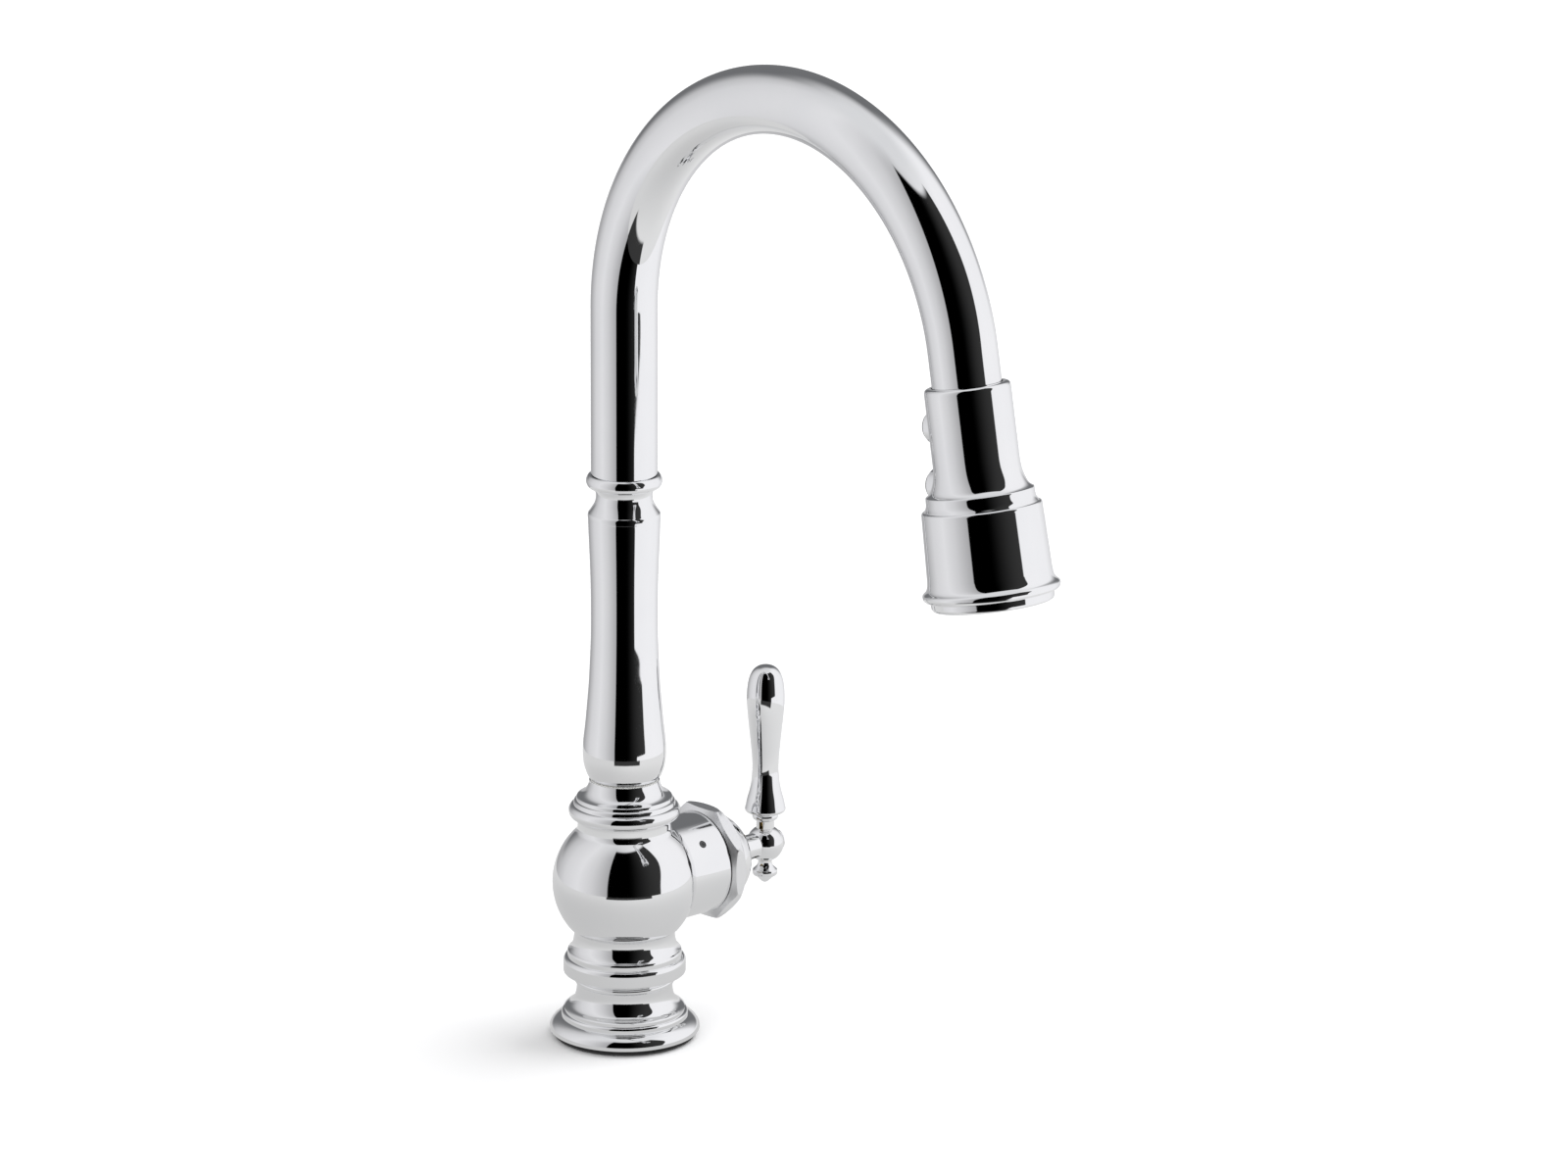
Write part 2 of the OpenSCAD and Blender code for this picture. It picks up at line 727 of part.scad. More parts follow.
module return_pad(u) {
    y0 = valve_r + 0.4;
    at_head() translate([0, 0, -u]) rotate([-90, 0, 0]) translate([0, 0, y0]) difference() {
        cylinder(r = 5, h = cap_y - y0);
        translate([0, 0, -1]) cylinder(r = 3, h = 6);
    }
}

module pad_upper() {
    color("black") return_pad(upper_u);
}

module pad_lower() {
    color("black") return_pad(lower_u);
}

// ---------- drawing ----------
deck_gasket();
base_flange();
body_shell();
collar_ring();
swivel_bearing();
thrust_washer();
threaded_shank();
deck_washer();
clamp_washer();
mounting_nut();
clamp_screws();
hot_tail();
cold_tail();
outlet_tail();
tail_fittings();
valve_manifold();
cartridge_seal();
cartridge_body();
fixed_disc();
cartridge_retainer();
bonnet_nut();
bonnet_dome();
port_plug();
vase_column();
swivel_sleeve();
swivel_orings();
swivel_clip();
neck_bead();
gooseneck_tube();
spout_tip();
dock_ring();
dock_magnet();
spray_hose();
moving_disc();
valve_spindle();
hinge_pin();
handle_stem();
hub_ball();
hub_cap();
lever_rod();
lever_collar();
lever_grip();
lever_finial();
hose_ferrule();
swivel_ball();
hose_tail();
grip_shell();
latch_plate();
socket_nut();
inner_body();
diverter_body();
cup_shell();
face_skirt();
spray_face();
spray_nozzles();
aerator();
button_upper();
pad_upper();
button_lower();
pad_lower();
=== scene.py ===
"""Looks of a pull-down kitchen faucet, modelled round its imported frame.

Shapes are drawn in millimetres and scaled to metres as each piece is finished. A turned piece is a half
outline spun about its axis: (radius, height) points, in runs that are smooth inside and meet at edges.
"""
import bpy
import bmesh
import json
import math
import numpy as np
from mathutils import Matrix, Vector


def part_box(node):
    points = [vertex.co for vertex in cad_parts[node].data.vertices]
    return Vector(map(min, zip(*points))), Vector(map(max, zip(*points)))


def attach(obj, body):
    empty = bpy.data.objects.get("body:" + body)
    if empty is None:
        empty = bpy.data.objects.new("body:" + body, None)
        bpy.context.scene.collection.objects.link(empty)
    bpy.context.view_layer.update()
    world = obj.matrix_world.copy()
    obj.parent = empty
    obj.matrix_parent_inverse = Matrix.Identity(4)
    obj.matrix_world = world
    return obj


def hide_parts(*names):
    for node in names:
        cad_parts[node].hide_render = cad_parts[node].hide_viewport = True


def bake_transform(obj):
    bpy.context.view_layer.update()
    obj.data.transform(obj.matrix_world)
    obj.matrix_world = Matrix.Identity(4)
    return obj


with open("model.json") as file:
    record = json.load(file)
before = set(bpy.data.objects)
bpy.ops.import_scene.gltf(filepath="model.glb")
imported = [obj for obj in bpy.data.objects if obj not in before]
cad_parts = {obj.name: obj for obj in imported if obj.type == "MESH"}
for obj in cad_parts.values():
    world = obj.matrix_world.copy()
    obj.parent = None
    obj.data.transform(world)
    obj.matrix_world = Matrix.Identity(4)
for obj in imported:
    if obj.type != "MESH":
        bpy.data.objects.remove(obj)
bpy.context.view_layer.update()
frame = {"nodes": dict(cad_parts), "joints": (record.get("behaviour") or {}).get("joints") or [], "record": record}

# ---------- places, from the frame ----------
MM = 0.001
joints = {joint["name"]: joint for joint in frame["joints"]}


def low(node):
    """Lowest corner of a frame node, in millimetres."""
    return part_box(node)[0] / MM


def high(node):
    """Highest corner of a frame node, in millimetres."""
    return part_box(node)[1] / MM


def joint_spot(name):
    """Place of a hinge, in millimetres."""
    return Vector(joints[name]["pos_m"]) / MM


# Body and column, by their heights on the vertical axis
FOOT_TOP = 11.3
FOOT_BORE = 17.1
BALL_Z = joint_spot("temperature_turn").z
BALL_R = 31.4
COLLAR_Z = low("collar_ring").z
COLUMN_Z = low("vase_column").z
BEAD_Z = low("neck_bead").z
SHANK_BORE = 16.6
COLUMN_BORE = 10.4

# Bent tube: riser, arch and a straight end along the head's axis
HEAD_SPOT = joint_spot("spray_spin")
HEAD_AXIS = Vector(joints["spray_pull"]["axis"])
TUBE_Z = low("gooseneck_tube").z
TUBE_R = high("gooseneck_tube").x
TUBE_WALL = 1.8
TUBE_TAIL = 20
NECK_SWEEP = math.pi - math.asin(-HEAD_AXIS.y)
NECK_R = -HEAD_SPOT.y / (1 - math.cos(NECK_SWEEP))
ARCH_Z = HEAD_SPOT.z - NECK_R * math.sin(NECK_SWEEP)

# Side housing and lever, by their distances along the housing's axis
SEAT_GAP = 0.2
HOUSING_R = (high("bonnet_dome").y - low("bonnet_dome").y) / 2 + SEAT_GAP
COVER_BORE = HOUSING_R - 2.8
DOME_R = HOUSING_R - SEAT_GAP
DOME_X = low("bonnet_dome").x + 1
HOUSING_END = DOME_X - 1.7
NUT_BACK = 3.6
NUT_X = low("bonnet_nut").x + NUT_BACK
NUT_SIDES = 8
NUT_CORNER = HOUSING_R + 3.8
NUT_FLAT = NUT_CORNER * math.cos(math.pi / NUT_SIDES)
PORT_X = HOUSING_END - 12.2
PORT_TURN = math.radians(-130)
PORT_R = 1.75
PIVOT_X = joint_spot("flow_tilt").x
LEVER_X = (low("lever_grip").x + high("lever_grip").x) / 2
HUB_R = high("hub_ball").z - BALL_Z
CAP_DEPTH = 1.2
ROD_R = 3

# Spray head, by distances along its axis from the ball joint
GRIP_R = TUBE_R + 3.4
CUP_R = GRIP_R + 7
RIM_U = 13.2
CUP_U = 63
FLANGE_U = 99.9
FACE_U = 103.7
BUTTONS = {"upper": (30.5, 24.0), "lower": (54.6, 26.3)}  # distance along the head's axis, crown's from it
HOSE_R = 5.5
HOSE_BORE = 3.5
PULL = joints["spray_pull"]["range_m"][1] / MM

SIDES = 160
SHARP = math.radians(26)

UPRIGHT = Matrix.Identity(4)
ALONG_X = Matrix.Translation((0, 0, BALL_Z)) @ Matrix.Rotation(math.pi / 2, 4, "Y")
AT_LEVER = Matrix.Translation((LEVER_X, 0, BALL_Z))
HEAD_SIDE = Vector((0, -HEAD_AXIS.z, HEAD_AXIS.y))
HEAD_TURN = Matrix((Vector((-1, 0, 0)), HEAD_SIDE, HEAD_AXIS)).transposed().to_4x4()
AT_HEAD = Matrix.Translation(HEAD_SPOT) @ HEAD_TURN


# ---------- outlines ----------
def smooth(points, steps=7):
    """A smooth run through the points: a natural cubic spline by chord length."""
    spots = np.array(points, float)
    gaps = np.linalg.norm(np.diff(spots, axis=0), axis=1)
    count = len(spots)
    system = np.eye(count)
    pull = np.zeros((count, 2))
    for i in range(1, count - 1):
        system[i, i - 1:i + 2] = gaps[i - 1], 2 * (gaps[i - 1] + gaps[i]), gaps[i]
        pull[i] = 6 * ((spots[i + 1] - spots[i]) / gaps[i] - (spots[i] - spots[i - 1]) / gaps[i - 1])
    bend = np.linalg.solve(system, pull)
    run = []
    for i, gap in enumerate(gaps):
        for k in range(steps):
            ahead = gap * k / steps
            left = gap - ahead
            run.append(
                (bend[i] * left ** 3 + bend[i + 1] * ahead ** 3) / (6 * gap)
                + (spots[i] / gap - bend[i] * gap / 6) * left
                + (spots[i + 1] / gap - bend[i + 1] * gap / 6) * ahead
            )
    run.append(spots[-1])
    return [tuple(spot) for spot in run]


def arc(centre, radius, start, end, steps=24):
    """Part of a circle, by its angles in degrees."""
    angles = [math.radians(start + (end - start) * k / steps) for k in range(steps + 1)]
    return [(centre[0] + radius * math.cos(a), centre[1] + radius * math.sin(a)) for a in angles]


def line(*points):
    """Straight stretches, with a point close to each end that keeps the shading of a flat wall flat."""
    run = [points[0]]
    for a, b in zip(points, points[1:]):
        length = math.dist(a, b)
        if length > 1:
            step = 0.15 / length
            for t in (step, 1 - step):
                run.append((a[0] + (b[0] - a[0]) * t, a[1] + (b[1] - a[1]) * t))
        run.append(b)
    return run


def outline(*runs, lift=0):
    """Joins runs into one list of points without repeats, raised by lift."""
    points = []
    for run in runs:
        for r, h in run:
            if not points or math.dist(points[-1], (r, h + lift)) > 1e-4:
                points.append((max(r, 0), h + lift))
    if math.dist(points[0], points[-1]) < 1e-4:
        points.pop()
    return points


# ---------- mesh work ----------
def turned(points, sides=SIDES):
    """Spins a half outline about Z. One whose ends aren't both on the axis is closed first."""
    mesh = bmesh.new()
    spots = [mesh.verts.new((r, 0, h)) for r, h in points]
    edges = [mesh.edges.new(pair) for pair in zip(spots, spots[1:])]
    if points[0][0] > 0 or points[-1][0] > 0:
        edges.append(mesh.edges.new((spots[-1], spots[0])))
    bmesh.ops.spin(
        mesh, geom=spots + edges, cent=(0, 0, 0), axis=(0, 0, 1), angle=2 * math.pi, steps=sides,
        use_merge=True,
    )
    bmesh.ops.remove_doubles(mesh, verts=mesh.verts, dist=1e-5)
    bmesh.ops.recalc_face_normals(mesh, faces=mesh.faces)
    return mesh


def rod(radius, start, end, sides=SIDES):
    """A plain round bar along Z."""
    return turned(outline(line((0, start), (radius, start), (radius, end), (0, end))), sides)


def moved(mesh, place):
    """The same mesh, moved to its place."""
    bmesh.ops.transform(mesh, matrix=place, verts=mesh.verts)
    return mesh


def solid_object(mesh):
    """A working object that takes the mesh over."""
    data = bpy.data.meshes.new("work")
    mesh.to_mesh(data)
    mesh.free()
    thing = bpy.data.objects.new("work", data)
    bpy.context.scene.collection.objects.link(thing)
    return thing


def combined(base, tool, operation):
    """Base with the tool joined on or cut away: operation is UNION, DIFFERENCE or INTERSECT."""
    keep = solid_object(base)
    other = solid_object(tool)
    cutter = keep.modifiers.new("join", "BOOLEAN")
    cutter.operation = operation
    cutter.solver = "EXACT"
    cutter.object = other
    result = bmesh.new()
    result.from_object(keep, bpy.context.evaluated_depsgraph_get())
    for thing in (keep, other):
        data = thing.data
        bpy.data.objects.remove(thing)
        bpy.data.meshes.remove(data)
    return result


def along_housing(distance):
    """Place on the housing's axis, pointing away from the body."""
    return ALONG_X @ Matrix.Translation((0, 0, distance))


def on_head_side(distance):
    """Place on the head's axis, pointing to its button side."""
    return Matrix.Translation((0, 0, distance)) @ Matrix.Rotation(-math.pi / 2, 4, "X")


def piece(name, mesh, material, body, nodes, place=UPRIGHT):
    """Finishes a mesh as a piece: scaled to metres, shaded, named, tied to its body when the body is a name, and
    its frame nodes hidden.
    """
    bmesh.ops.transform(mesh, matrix=Matrix.Scale(MM, 4) @ place, verts=mesh.verts)
    for face in mesh.faces:
        face.smooth = True
    for edge in mesh.edges:
        edge.smooth = edge.calc_face_angle(math.pi) < SHARP
    data = bpy.data.meshes.new(name)
    mesh.to_mesh(data)
    mesh.free()
    thing = bpy.data.objects.new(name, data)
    bpy.context.scene.collection.objects.link(thing)
    data.materials.append(material)
    if isinstance(body, str):
        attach(thing, body)
    else:
        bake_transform(thing)
    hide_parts(*nodes)


# ---------- materials ----------
def new_material(name, slot):
    """A material that carries its slot's name, with its tree, shader and Object coordinates."""
    material = bpy.data.materials.new(name)
    material.use_nodes = True
    material["slot"] = slot
    tree = material.node_tree
    shader = next(node for node in tree.nodes if node.type == "BSDF_PRINCIPLED")
    where = tree.nodes.new("ShaderNodeTexCoord").outputs["Object"]
    return material, tree, shader, where


def noise(tree, where, scale, detail=3, stretch=(1, 1, 1)):
    """Noise whose pattern is squeezed along each axis by stretch."""
    mapping = tree.nodes.new("ShaderNodeMapping")
    mapping.inputs["Scale"].default_value = stretch
    tree.links.new(where, mapping.inputs["Vector"])
    texture = tree.nodes.new("ShaderNodeTexNoise")
    texture.inputs["Scale"].default_value = scale
    texture.inputs["Detail"].default_value = detail
    tree.links.new(mapping.outputs["Vector"], texture.inputs["Vector"])
    return texture.outputs["Fac"]


def spread(tree, value, lowest, highest):
    """Maps 0.3..0.7 of a noise to lowest..highest."""
    node = tree.nodes.new("ShaderNodeMapRange")
    node.inputs["From Min"].default_value = 0.3
    node.inputs["From Max"].default_value = 0.7
    node.inputs["To Min"].default_value = lowest
    node.inputs["To Max"].default_value = highest
    tree.links.new(value, node.inputs["Value"])
    return node.outputs["Result"]


def two_tone(tree, value, dark, light):
    """Dark to light over 0.3..0.7 of a noise."""
    node = tree.nodes.new("ShaderNodeValToRGB")
    node.color_ramp.elements[0].position = 0.3
    node.color_ramp.elements[0].color = (*dark, 1)
    node.color_ramp.elements[1].position = 0.7
    node.color_ramp.elements[1].color = (*light, 1)
    tree.links.new(value, node.inputs["Fac"])
    return node.outputs["Color"]


def bump(tree, shader, height, strength, distance):
    """Raises the shader's surface by a height, up to a distance in metres."""
    node = tree.nodes.new("ShaderNodeBump")
    node.inputs["Strength"].default_value = strength
    node.inputs["Distance"].default_value = distance
    tree.links.new(height, node.inputs["Height"])
    tree.links.new(node.outputs["Normal"], shader.inputs["Normal"])


def plated(name, smoothest, roughest):
    """Plated metal: a faint haze of handling marks in the gloss, and a trace of polishing waviness."""
    material, tree, shader, where = new_material(name, "chrome")
    shader.inputs["Metallic"].default_value = 1
    haze = noise(tree, where, 38, 4)
    tint = two_tone(tree, haze, (0.885, 0.89, 0.9), (0.91, 0.912, 0.918))
    tree.links.new(tint, shader.inputs["Base Color"])
    tree.links.new(spread(tree, haze, smoothest, roughest), shader.inputs["Roughness"])
    bump(tree, shader, noise(tree, where, 60, 1), 0.02, 0.0002)
    return material


def metal(name, slot, dark, light, rough, grain=(1, 1, 1), depth=0.15):
    """Machined or drawn metal with a directional grain."""
    material, tree, shader, where = new_material(name, slot)
    shader.inputs["Metallic"].default_value = 1
    marks = noise(tree, where, 300, 4, grain)
    tree.links.new(two_tone(tree, noise(tree, where, 45, 3), dark, light), shader.inputs["Base Color"])
    tree.links.new(spread(tree, marks, rough * 0.75, rough * 1.3), shader.inputs["Roughness"])
    bump(tree, shader, marks, depth, 0.0002)
    return material


def moulded(name, slot, dark, light, rough, grain_scale=900, depth=0.12, sheen=0.5):
    """Moulded plastic, rubber or ceramic: a fine surface grain and a slight tone change."""
    material, tree, shader, where = new_material(name, slot)
    shader.inputs["Specular IOR Level"].default_value = sheen
    grain = noise(tree, where, grain_scale, 3)
    tree.links.new(two_tone(tree, noise(tree, where, 60, 2), dark, light), shader.inputs["Base Color"])
    tree.links.new(spread(tree, grain, rough * 0.85, rough * 1.2), shader.inputs["Roughness"])
    bump(tree, shader, grain, depth, 0.0001)
    return material


def braided_nylon():
    """Crossed strands that follow the hose's own map."""
    material, tree, shader, _ = new_material("braided_nylon", "hose")
    around = tree.nodes.new("ShaderNodeUVMap").outputs["UV"]
    waves = []
    for lean in (1, -1):
        mapping = tree.nodes.new("ShaderNodeMapping")
        mapping.inputs["Rotation"].default_value = (0, 0, lean * math.radians(52))
        tree.links.new(around, mapping.inputs["Vector"])
        wave = tree.nodes.new("ShaderNodeTexWave")
        wave.inputs["Scale"].default_value = 0.32
        wave.inputs["Distortion"].default_value = 0
        tree.links.new(mapping.outputs["Vector"], wave.inputs["Vector"])
        waves.append(wave.outputs["Fac"])
    top = tree.nodes.new("ShaderNodeMath")
    top.operation = "MAXIMUM"
    tree.links.new(waves[0], top.inputs[0])
    tree.links.new(waves[1], top.inputs[1])
    strands = top.outputs["Value"]
    tint = two_tone(tree, strands, (0.05, 0.052, 0.055), (0.3, 0.305, 0.31))
    tree.links.new(tint, shader.inputs["Base Color"])
    tree.links.new(spread(tree, strands, 0.7, 0.45), shader.inputs["Roughness"])
    bump(tree, shader, strands, 0.6, 0.0003)
    return material


CHROME = plated("chrome_plate", 0.02, 0.055)
SATIN = plated("satin_plate", 0.3, 0.36)
BRASS = metal("machined_brass", "brass", (0.62, 0.44, 0.17), (0.76, 0.58, 0.27), 0.24, (1, 1, 6))
STEEL = metal("bright_steel", "steel", (0.5, 0.5, 0.51), (0.64, 0.645, 0.65), 0.28, (1, 1, 5))
COPPER = metal("drawn_copper", "copper", (0.6, 0.3, 0.18), (0.78, 0.44, 0.29), 0.26, (4, 4, 0.4))
RUBBER = moulded("black_rubber", "rubber", (0.014, 0.014, 0.015), (0.03, 0.03, 0.031), 0.62, 700, 0.25)
WHITE = moulded("white_acetal", "white_plastic", (0.74, 0.74, 0.72), (0.82, 0.82, 0.8), 0.38)
CERAMIC = moulded("lapped_ceramic", "ceramic", (0.8, 0.79, 0.76), (0.87, 0.86, 0.83), 0.16, 1500, 0.04)
DARK = moulded("dark_nylon", "dark_plastic", (0.035, 0.036, 0.038), (0.06, 0.061, 0.064), 0.45)
BUTTON = moulded(
    "button_satin", "button_plastic", (0.035, 0.036, 0.04), (0.06, 0.061, 0.065), 0.5, 1200, 0.08, sheen=0.15
)
GREY = moulded("grey_nylon", "grey_plastic", (0.16, 0.165, 0.17), (0.22, 0.225, 0.23), 0.42)
BRAID = braided_nylon()


# ---------- base and body ----------
def foot():
    """Round foot with a rolled lower edge."""
    shape = outline(
        line((FOOT_BORE, 2), (31.5, 2)),
        smooth([
            (31.5, 2), (32.4, 2.4), (32.78, 3.4), (32.55, 4.7), (31.8, 6), (30.5, 7.25), (28.9, 8.25),
            (27.7, 8.8),
        ]),
        line((27.7, 8.8), (27.6, 10)),
        smooth([(27.6, 10), (27.45, 10.6), (27, 11.1), (26.4, FOOT_TOP)]),
        line((26.4, FOOT_TOP), (FOOT_BORE, FOOT_TOP)),
    )
    piece("foot", turned(shape), CHROME, "deck_body", ["base_flange"])


def valve_body():
    """Turned stem, ball and side housing as one hollow casting."""
    cavity = BALL_R - 3.2
    cavity_top = 90
    body_top = 99.4
    neck_r = 20.4
    swivel_bore = 13.75
    fillet = 3.5
    neck = (neck_r + fillet, BALL_Z + math.sqrt((BALL_R + fillet) ** 2 - (neck_r + fillet) ** 2))
    turn = math.degrees(math.atan2(neck[1] - BALL_Z, neck[0]))
    cavity_turn = math.degrees(math.asin((cavity_top - BALL_Z) / cavity))
    stem = outline(
        line((SHANK_BORE, FOOT_TOP), (26.4, FOOT_TOP), (26.4, 12.6)),
        smooth([
            (26.4, 12.6), (25.9, 13), (24.2, 13.9), (22.7, 15.4), (21.6, 17.6), (21, 20.4), (20.9, 22.6),
            (21.1, 24),
        ]),
        smooth([(21.1, 24), (21.7, 24.6), (21.95, 25.4), (21.75, 26.2), (21.3, 26.7)]),
        smooth([(21.3, 26.7), (22.2, 27.9), (24.5, 28.55), (26.2, 28.85), (26.6, 29.15), (26.7, 29.6)]),
        line((26.7, 29.6), (26.7, 34.2)),
        smooth([(26.7, 34.2), (26.45, 35.1), (25.8, 35.9), (25, 36.3)]),
        line((25, 36.3), (25, 38)),
        smooth([(25, 38), (24.8, 38.8), (24.2, 39.4)]),
        smooth([
            (24.2, 39.4), (23.1, 40.8), (22.4, 42.8), (22.05, 45), (21.97, 46.6), (22.2, 47.8), (22.95, 48.8),
            (24.1, 49.57),
        ]),
        arc((0, BALL_Z), BALL_R, -39.8, turn, 72),
        arc(neck, fillet, 180 + turn, 180, 12),
        smooth([(neck_r, 97.4), (20.6, 98.6), (21.2, body_top)]),
        line((21.2, body_top), (swivel_bore, body_top), (swivel_bore, cavity_top), (19.57, cavity_top)),
        arc((0, BALL_Z), cavity, cavity_turn, -53.9, 48),
        line((SHANK_BORE, 46.9), (SHANK_BORE, FOOT_TOP)),
    )
    edge = 0.4
    housing = turned(outline(
        line((0, 20), (HOUSING_R, 20), (HOUSING_R, HOUSING_END - edge)),
        arc((HOUSING_R - edge, HOUSING_END - edge), edge, 0, 90, 6),
        line((HOUSING_R - edge, HOUSING_END), (0, HOUSING_END)),
    ))
    chamber = HOUSING_R - 5.1
    bore = turned(outline(line(
        (0, 8), (chamber, 8), (chamber, HOUSING_END - 5), (COVER_BORE, HOUSING_END - 5),
        (COVER_BORE, HOUSING_END + 5), (0, HOUSING_END + 5),
    )))
    body = combined(turned(stem), moved(housing, ALONG_X), "UNION")
    body = combined(body, moved(bore, ALONG_X), "DIFFERENCE")
    body = combined(body, moved(rod(PORT_R, -1.4, 3, 48), port_place()), "DIFFERENCE")
    piece("valve_body", body, CHROME, "deck_body", ["body_shell"])


def port_place():
    """On the housing's wall, 50 degrees from the top towards the -Y side, pointing outwards."""
    outwards = Matrix.Translation((HOUSING_R, 0, 0)) @ Matrix.Rotation(math.pi / 2, 4, "Y")
    return along_housing(PORT_X) @ Matrix.Rotation(PORT_TURN, 4, "Z") @ outwards


def port_screw():
    """Small socket screw in the housing's wall."""
    r = PORT_R - 0.15
    screw = turned(outline(
        line((0, -1.3), (r, -1.3), (r, -0.45)),
        arc((r - 0.2, -0.45), 0.2, 0, 90, 4),
        line((r - 0.2, -0.25), (0, -0.25)),
    ), 48)
    socket = bmesh.new()
    bmesh.ops.create_cone(socket, cap_ends=True, segments=6, radius1=0.8, radius2=0.8, depth=1)
    screw = combined(screw, socket, "DIFFERENCE")
    piece("port_screw", screw, DARK, "deck_body", ["port_plug"], port_place())


def collar():
    """Stepped collar on the body, where the column turns."""
    bore = 14.45
    tall = 16.9
    shape = outline(
        line((bore, 0), (21.9, 0)),
        smooth([
            (21.9, 0), (23.2, 0.55), (24, 1.6), (24.25, 2.8), (24.15, 3.9), (23.75, 4.8), (23, 5.6), (22.2, 6),
        ]),
        smooth([(22.2, 6), (22.1, 6.8), (21.7, 7.6), (21, 8)]),
        smooth([(21, 8), (20.95, 8.7), (20.75, 9.3), (20.4, 9.6)]),
        smooth([(20.4, 9.6), (18.7, 10.4), (17.1, 11.8), (16, 13.8), (15.4, 15.9), (15.3, tall)]),
        line((15.3, tall), (bore, tall)),
        lift=COLLAR_Z,
    )
    piece("collar", turned(shape), CHROME, "deck_body", ["collar_ring"])


def gasket():
    """Thin seal under the foot."""
    shape = outline(
        line((17.5, 0), (30.5, 0)),
        arc((30.3, 0.5), 0.5, -66, 90, 8),
        line((30.3, 2), (17.5, 2)),
    )
    piece("base_gasket", turned(shape, 96), RUBBER, "deck_body", ["deck_gasket"])


# ---------- housing cover and lever ----------
def side_nut():
    """Eight-sided nut with both corners turned away, so that each flat is a lens."""
    seat = DOME_R + 0.03
    lean = DOME_X - NUT_X
    c = NUT_CORNER
    blank = turned(outline(
        line((HOUSING_R - 0.25, -NUT_BACK), (HOUSING_R + 0.2, -NUT_BACK), (c - 0.3, -1.9)),
        smooth([(c - 0.3, -1.9), (c, -1.3), (c, 0.1)], 5),
        smooth([(c, 0.1), (c - 0.7, 1.45), (c - 1.9, 2.9), (c - 3.5, 4.1)]),
        line((c - 3.5, 4.1), (21.55, 4.1)),
        arc((0, lean), seat, 16.4, -3.6, 12),
    ), 320)
    for side in range(NUT_SIDES):
        facing = Matrix.Rotation(side * 2 * math.pi / NUT_SIDES, 4, "Z") @ Vector((1, 0, 0))
        cut = bmesh.ops.bisect_plane(
            blank, geom=blank.verts[:] + blank.edges[:] + blank.faces[:], dist=1e-5,
            plane_co=facing * NUT_FLAT, plane_no=facing, clear_outer=True,
        )
        rim = [part for part in cut["geom_cut"] if isinstance(part, bmesh.types.BMEdge)]
        bmesh.ops.holes_fill(blank, edges=rim, sides=0)
    bmesh.ops.recalc_face_normals(blank, faces=blank.faces)
    piece("side_nut", blank, SATIN, "deck_body", ["bonnet_nut"], along_housing(NUT_X))


def dome_cover():
    """Domed cover with a mouth for the lever's stem."""
    wall = 1.8
    mouth = 8.83
    tip = math.degrees(math.acos(mouth / DOME_R))
    inside = math.degrees(math.acos(mouth / (DOME_R - wall)))
    shape = outline(
        line((COVER_BORE, -1), (DOME_R - 0.05, -1)),
        arc((0, 0), DOME_R, -2.5, tip, 48),
        arc((0, 0), DOME_R - wall, inside, 2.5, 40),
        line((COVER_BORE, 0.9), (COVER_BORE, -1)),
    )
    piece("dome_cover", turned(shape), CHROME, "deck_body", ["bonnet_dome"], along_housing(DOME_X))


def lever_stem():
    """Round stem that ends in a drilled tongue on the hinge pin."""
    radius = 5.6
    edge = 0.4
    start = PIVOT_X + 5.4
    end = LEVER_X - 6.6
    stem = turned(outline(
        line((0, start), (radius - edge, start)),
        arc((radius - edge, start + edge), edge, -90, 0, 5),
        line((radius, start + edge), (radius, end), (0, end)),
    ), 96)
    across = Matrix.Translation((PIVOT_X, 0, BALL_Z)) @ Matrix.Rotation(math.pi / 2, 4, "X")
    long, wide, tall = 6.4, 5.2, 6
    eye = moved(rod(tall / 2, -wide / 2, wide / 2, 64), across)
    tongue = bmesh.new()
    bmesh.ops.create_cube(tongue, size=1)
    bmesh.ops.scale(tongue, vec=(long, wide, tall), verts=tongue.verts)
    bmesh.ops.translate(tongue, vec=(PIVOT_X + long / 2, 0, BALL_Z), verts=tongue.verts)
    stem = combined(moved(stem, ALONG_X), eye, "UNION")
    stem = combined(stem, tongue, "UNION")
    pin_hole = moved(rod(1.55, -6, 6, 48), across)
    stem = combined(stem, pin_hole, "DIFFERENCE")
    piece("lever_stem", stem, CHROME, "handle_lever", ["handle_stem"])


def hub():
    """Ball of the lever, with a flat cap on its outer end."""
    cap_seat = HUB_R - CAP_DEPTH
    ball = turned(outline(
        line((0, -6.6), (5.6, -6.6), (5.6, -6.79)),
        arc((0, 0), HUB_R, -50.5, 55.4, 60),
        line((5, HUB_R - 1.56), (5, cap_seat), (0, cap_seat)),
    ), 128)
    ball = moved(ball, along_housing(LEVER_X))
    ball = combined(ball, moved(rod(ROD_R, -20, 20, 64), AT_LEVER), "DIFFERENCE")
    piece("hub", ball, CHROME, "handle_lever", ["hub_ball"])
    cap = outline(
        line((0, 0), (4.6, 0), (4.6, 0.5)),
        arc((4.2, 0.5), 0.4, 0, 90, 5),
        smooth([(4.2, 0.9), (3, 1.12), (1.5, 1.26), (0, 1.3)]),
    )
    cap_place = along_housing(LEVER_X + cap_seat)
    piece("hub_end_cap", turned(cap, 96), CHROME, "handle_lever", ["hub_cap"], cap_place)


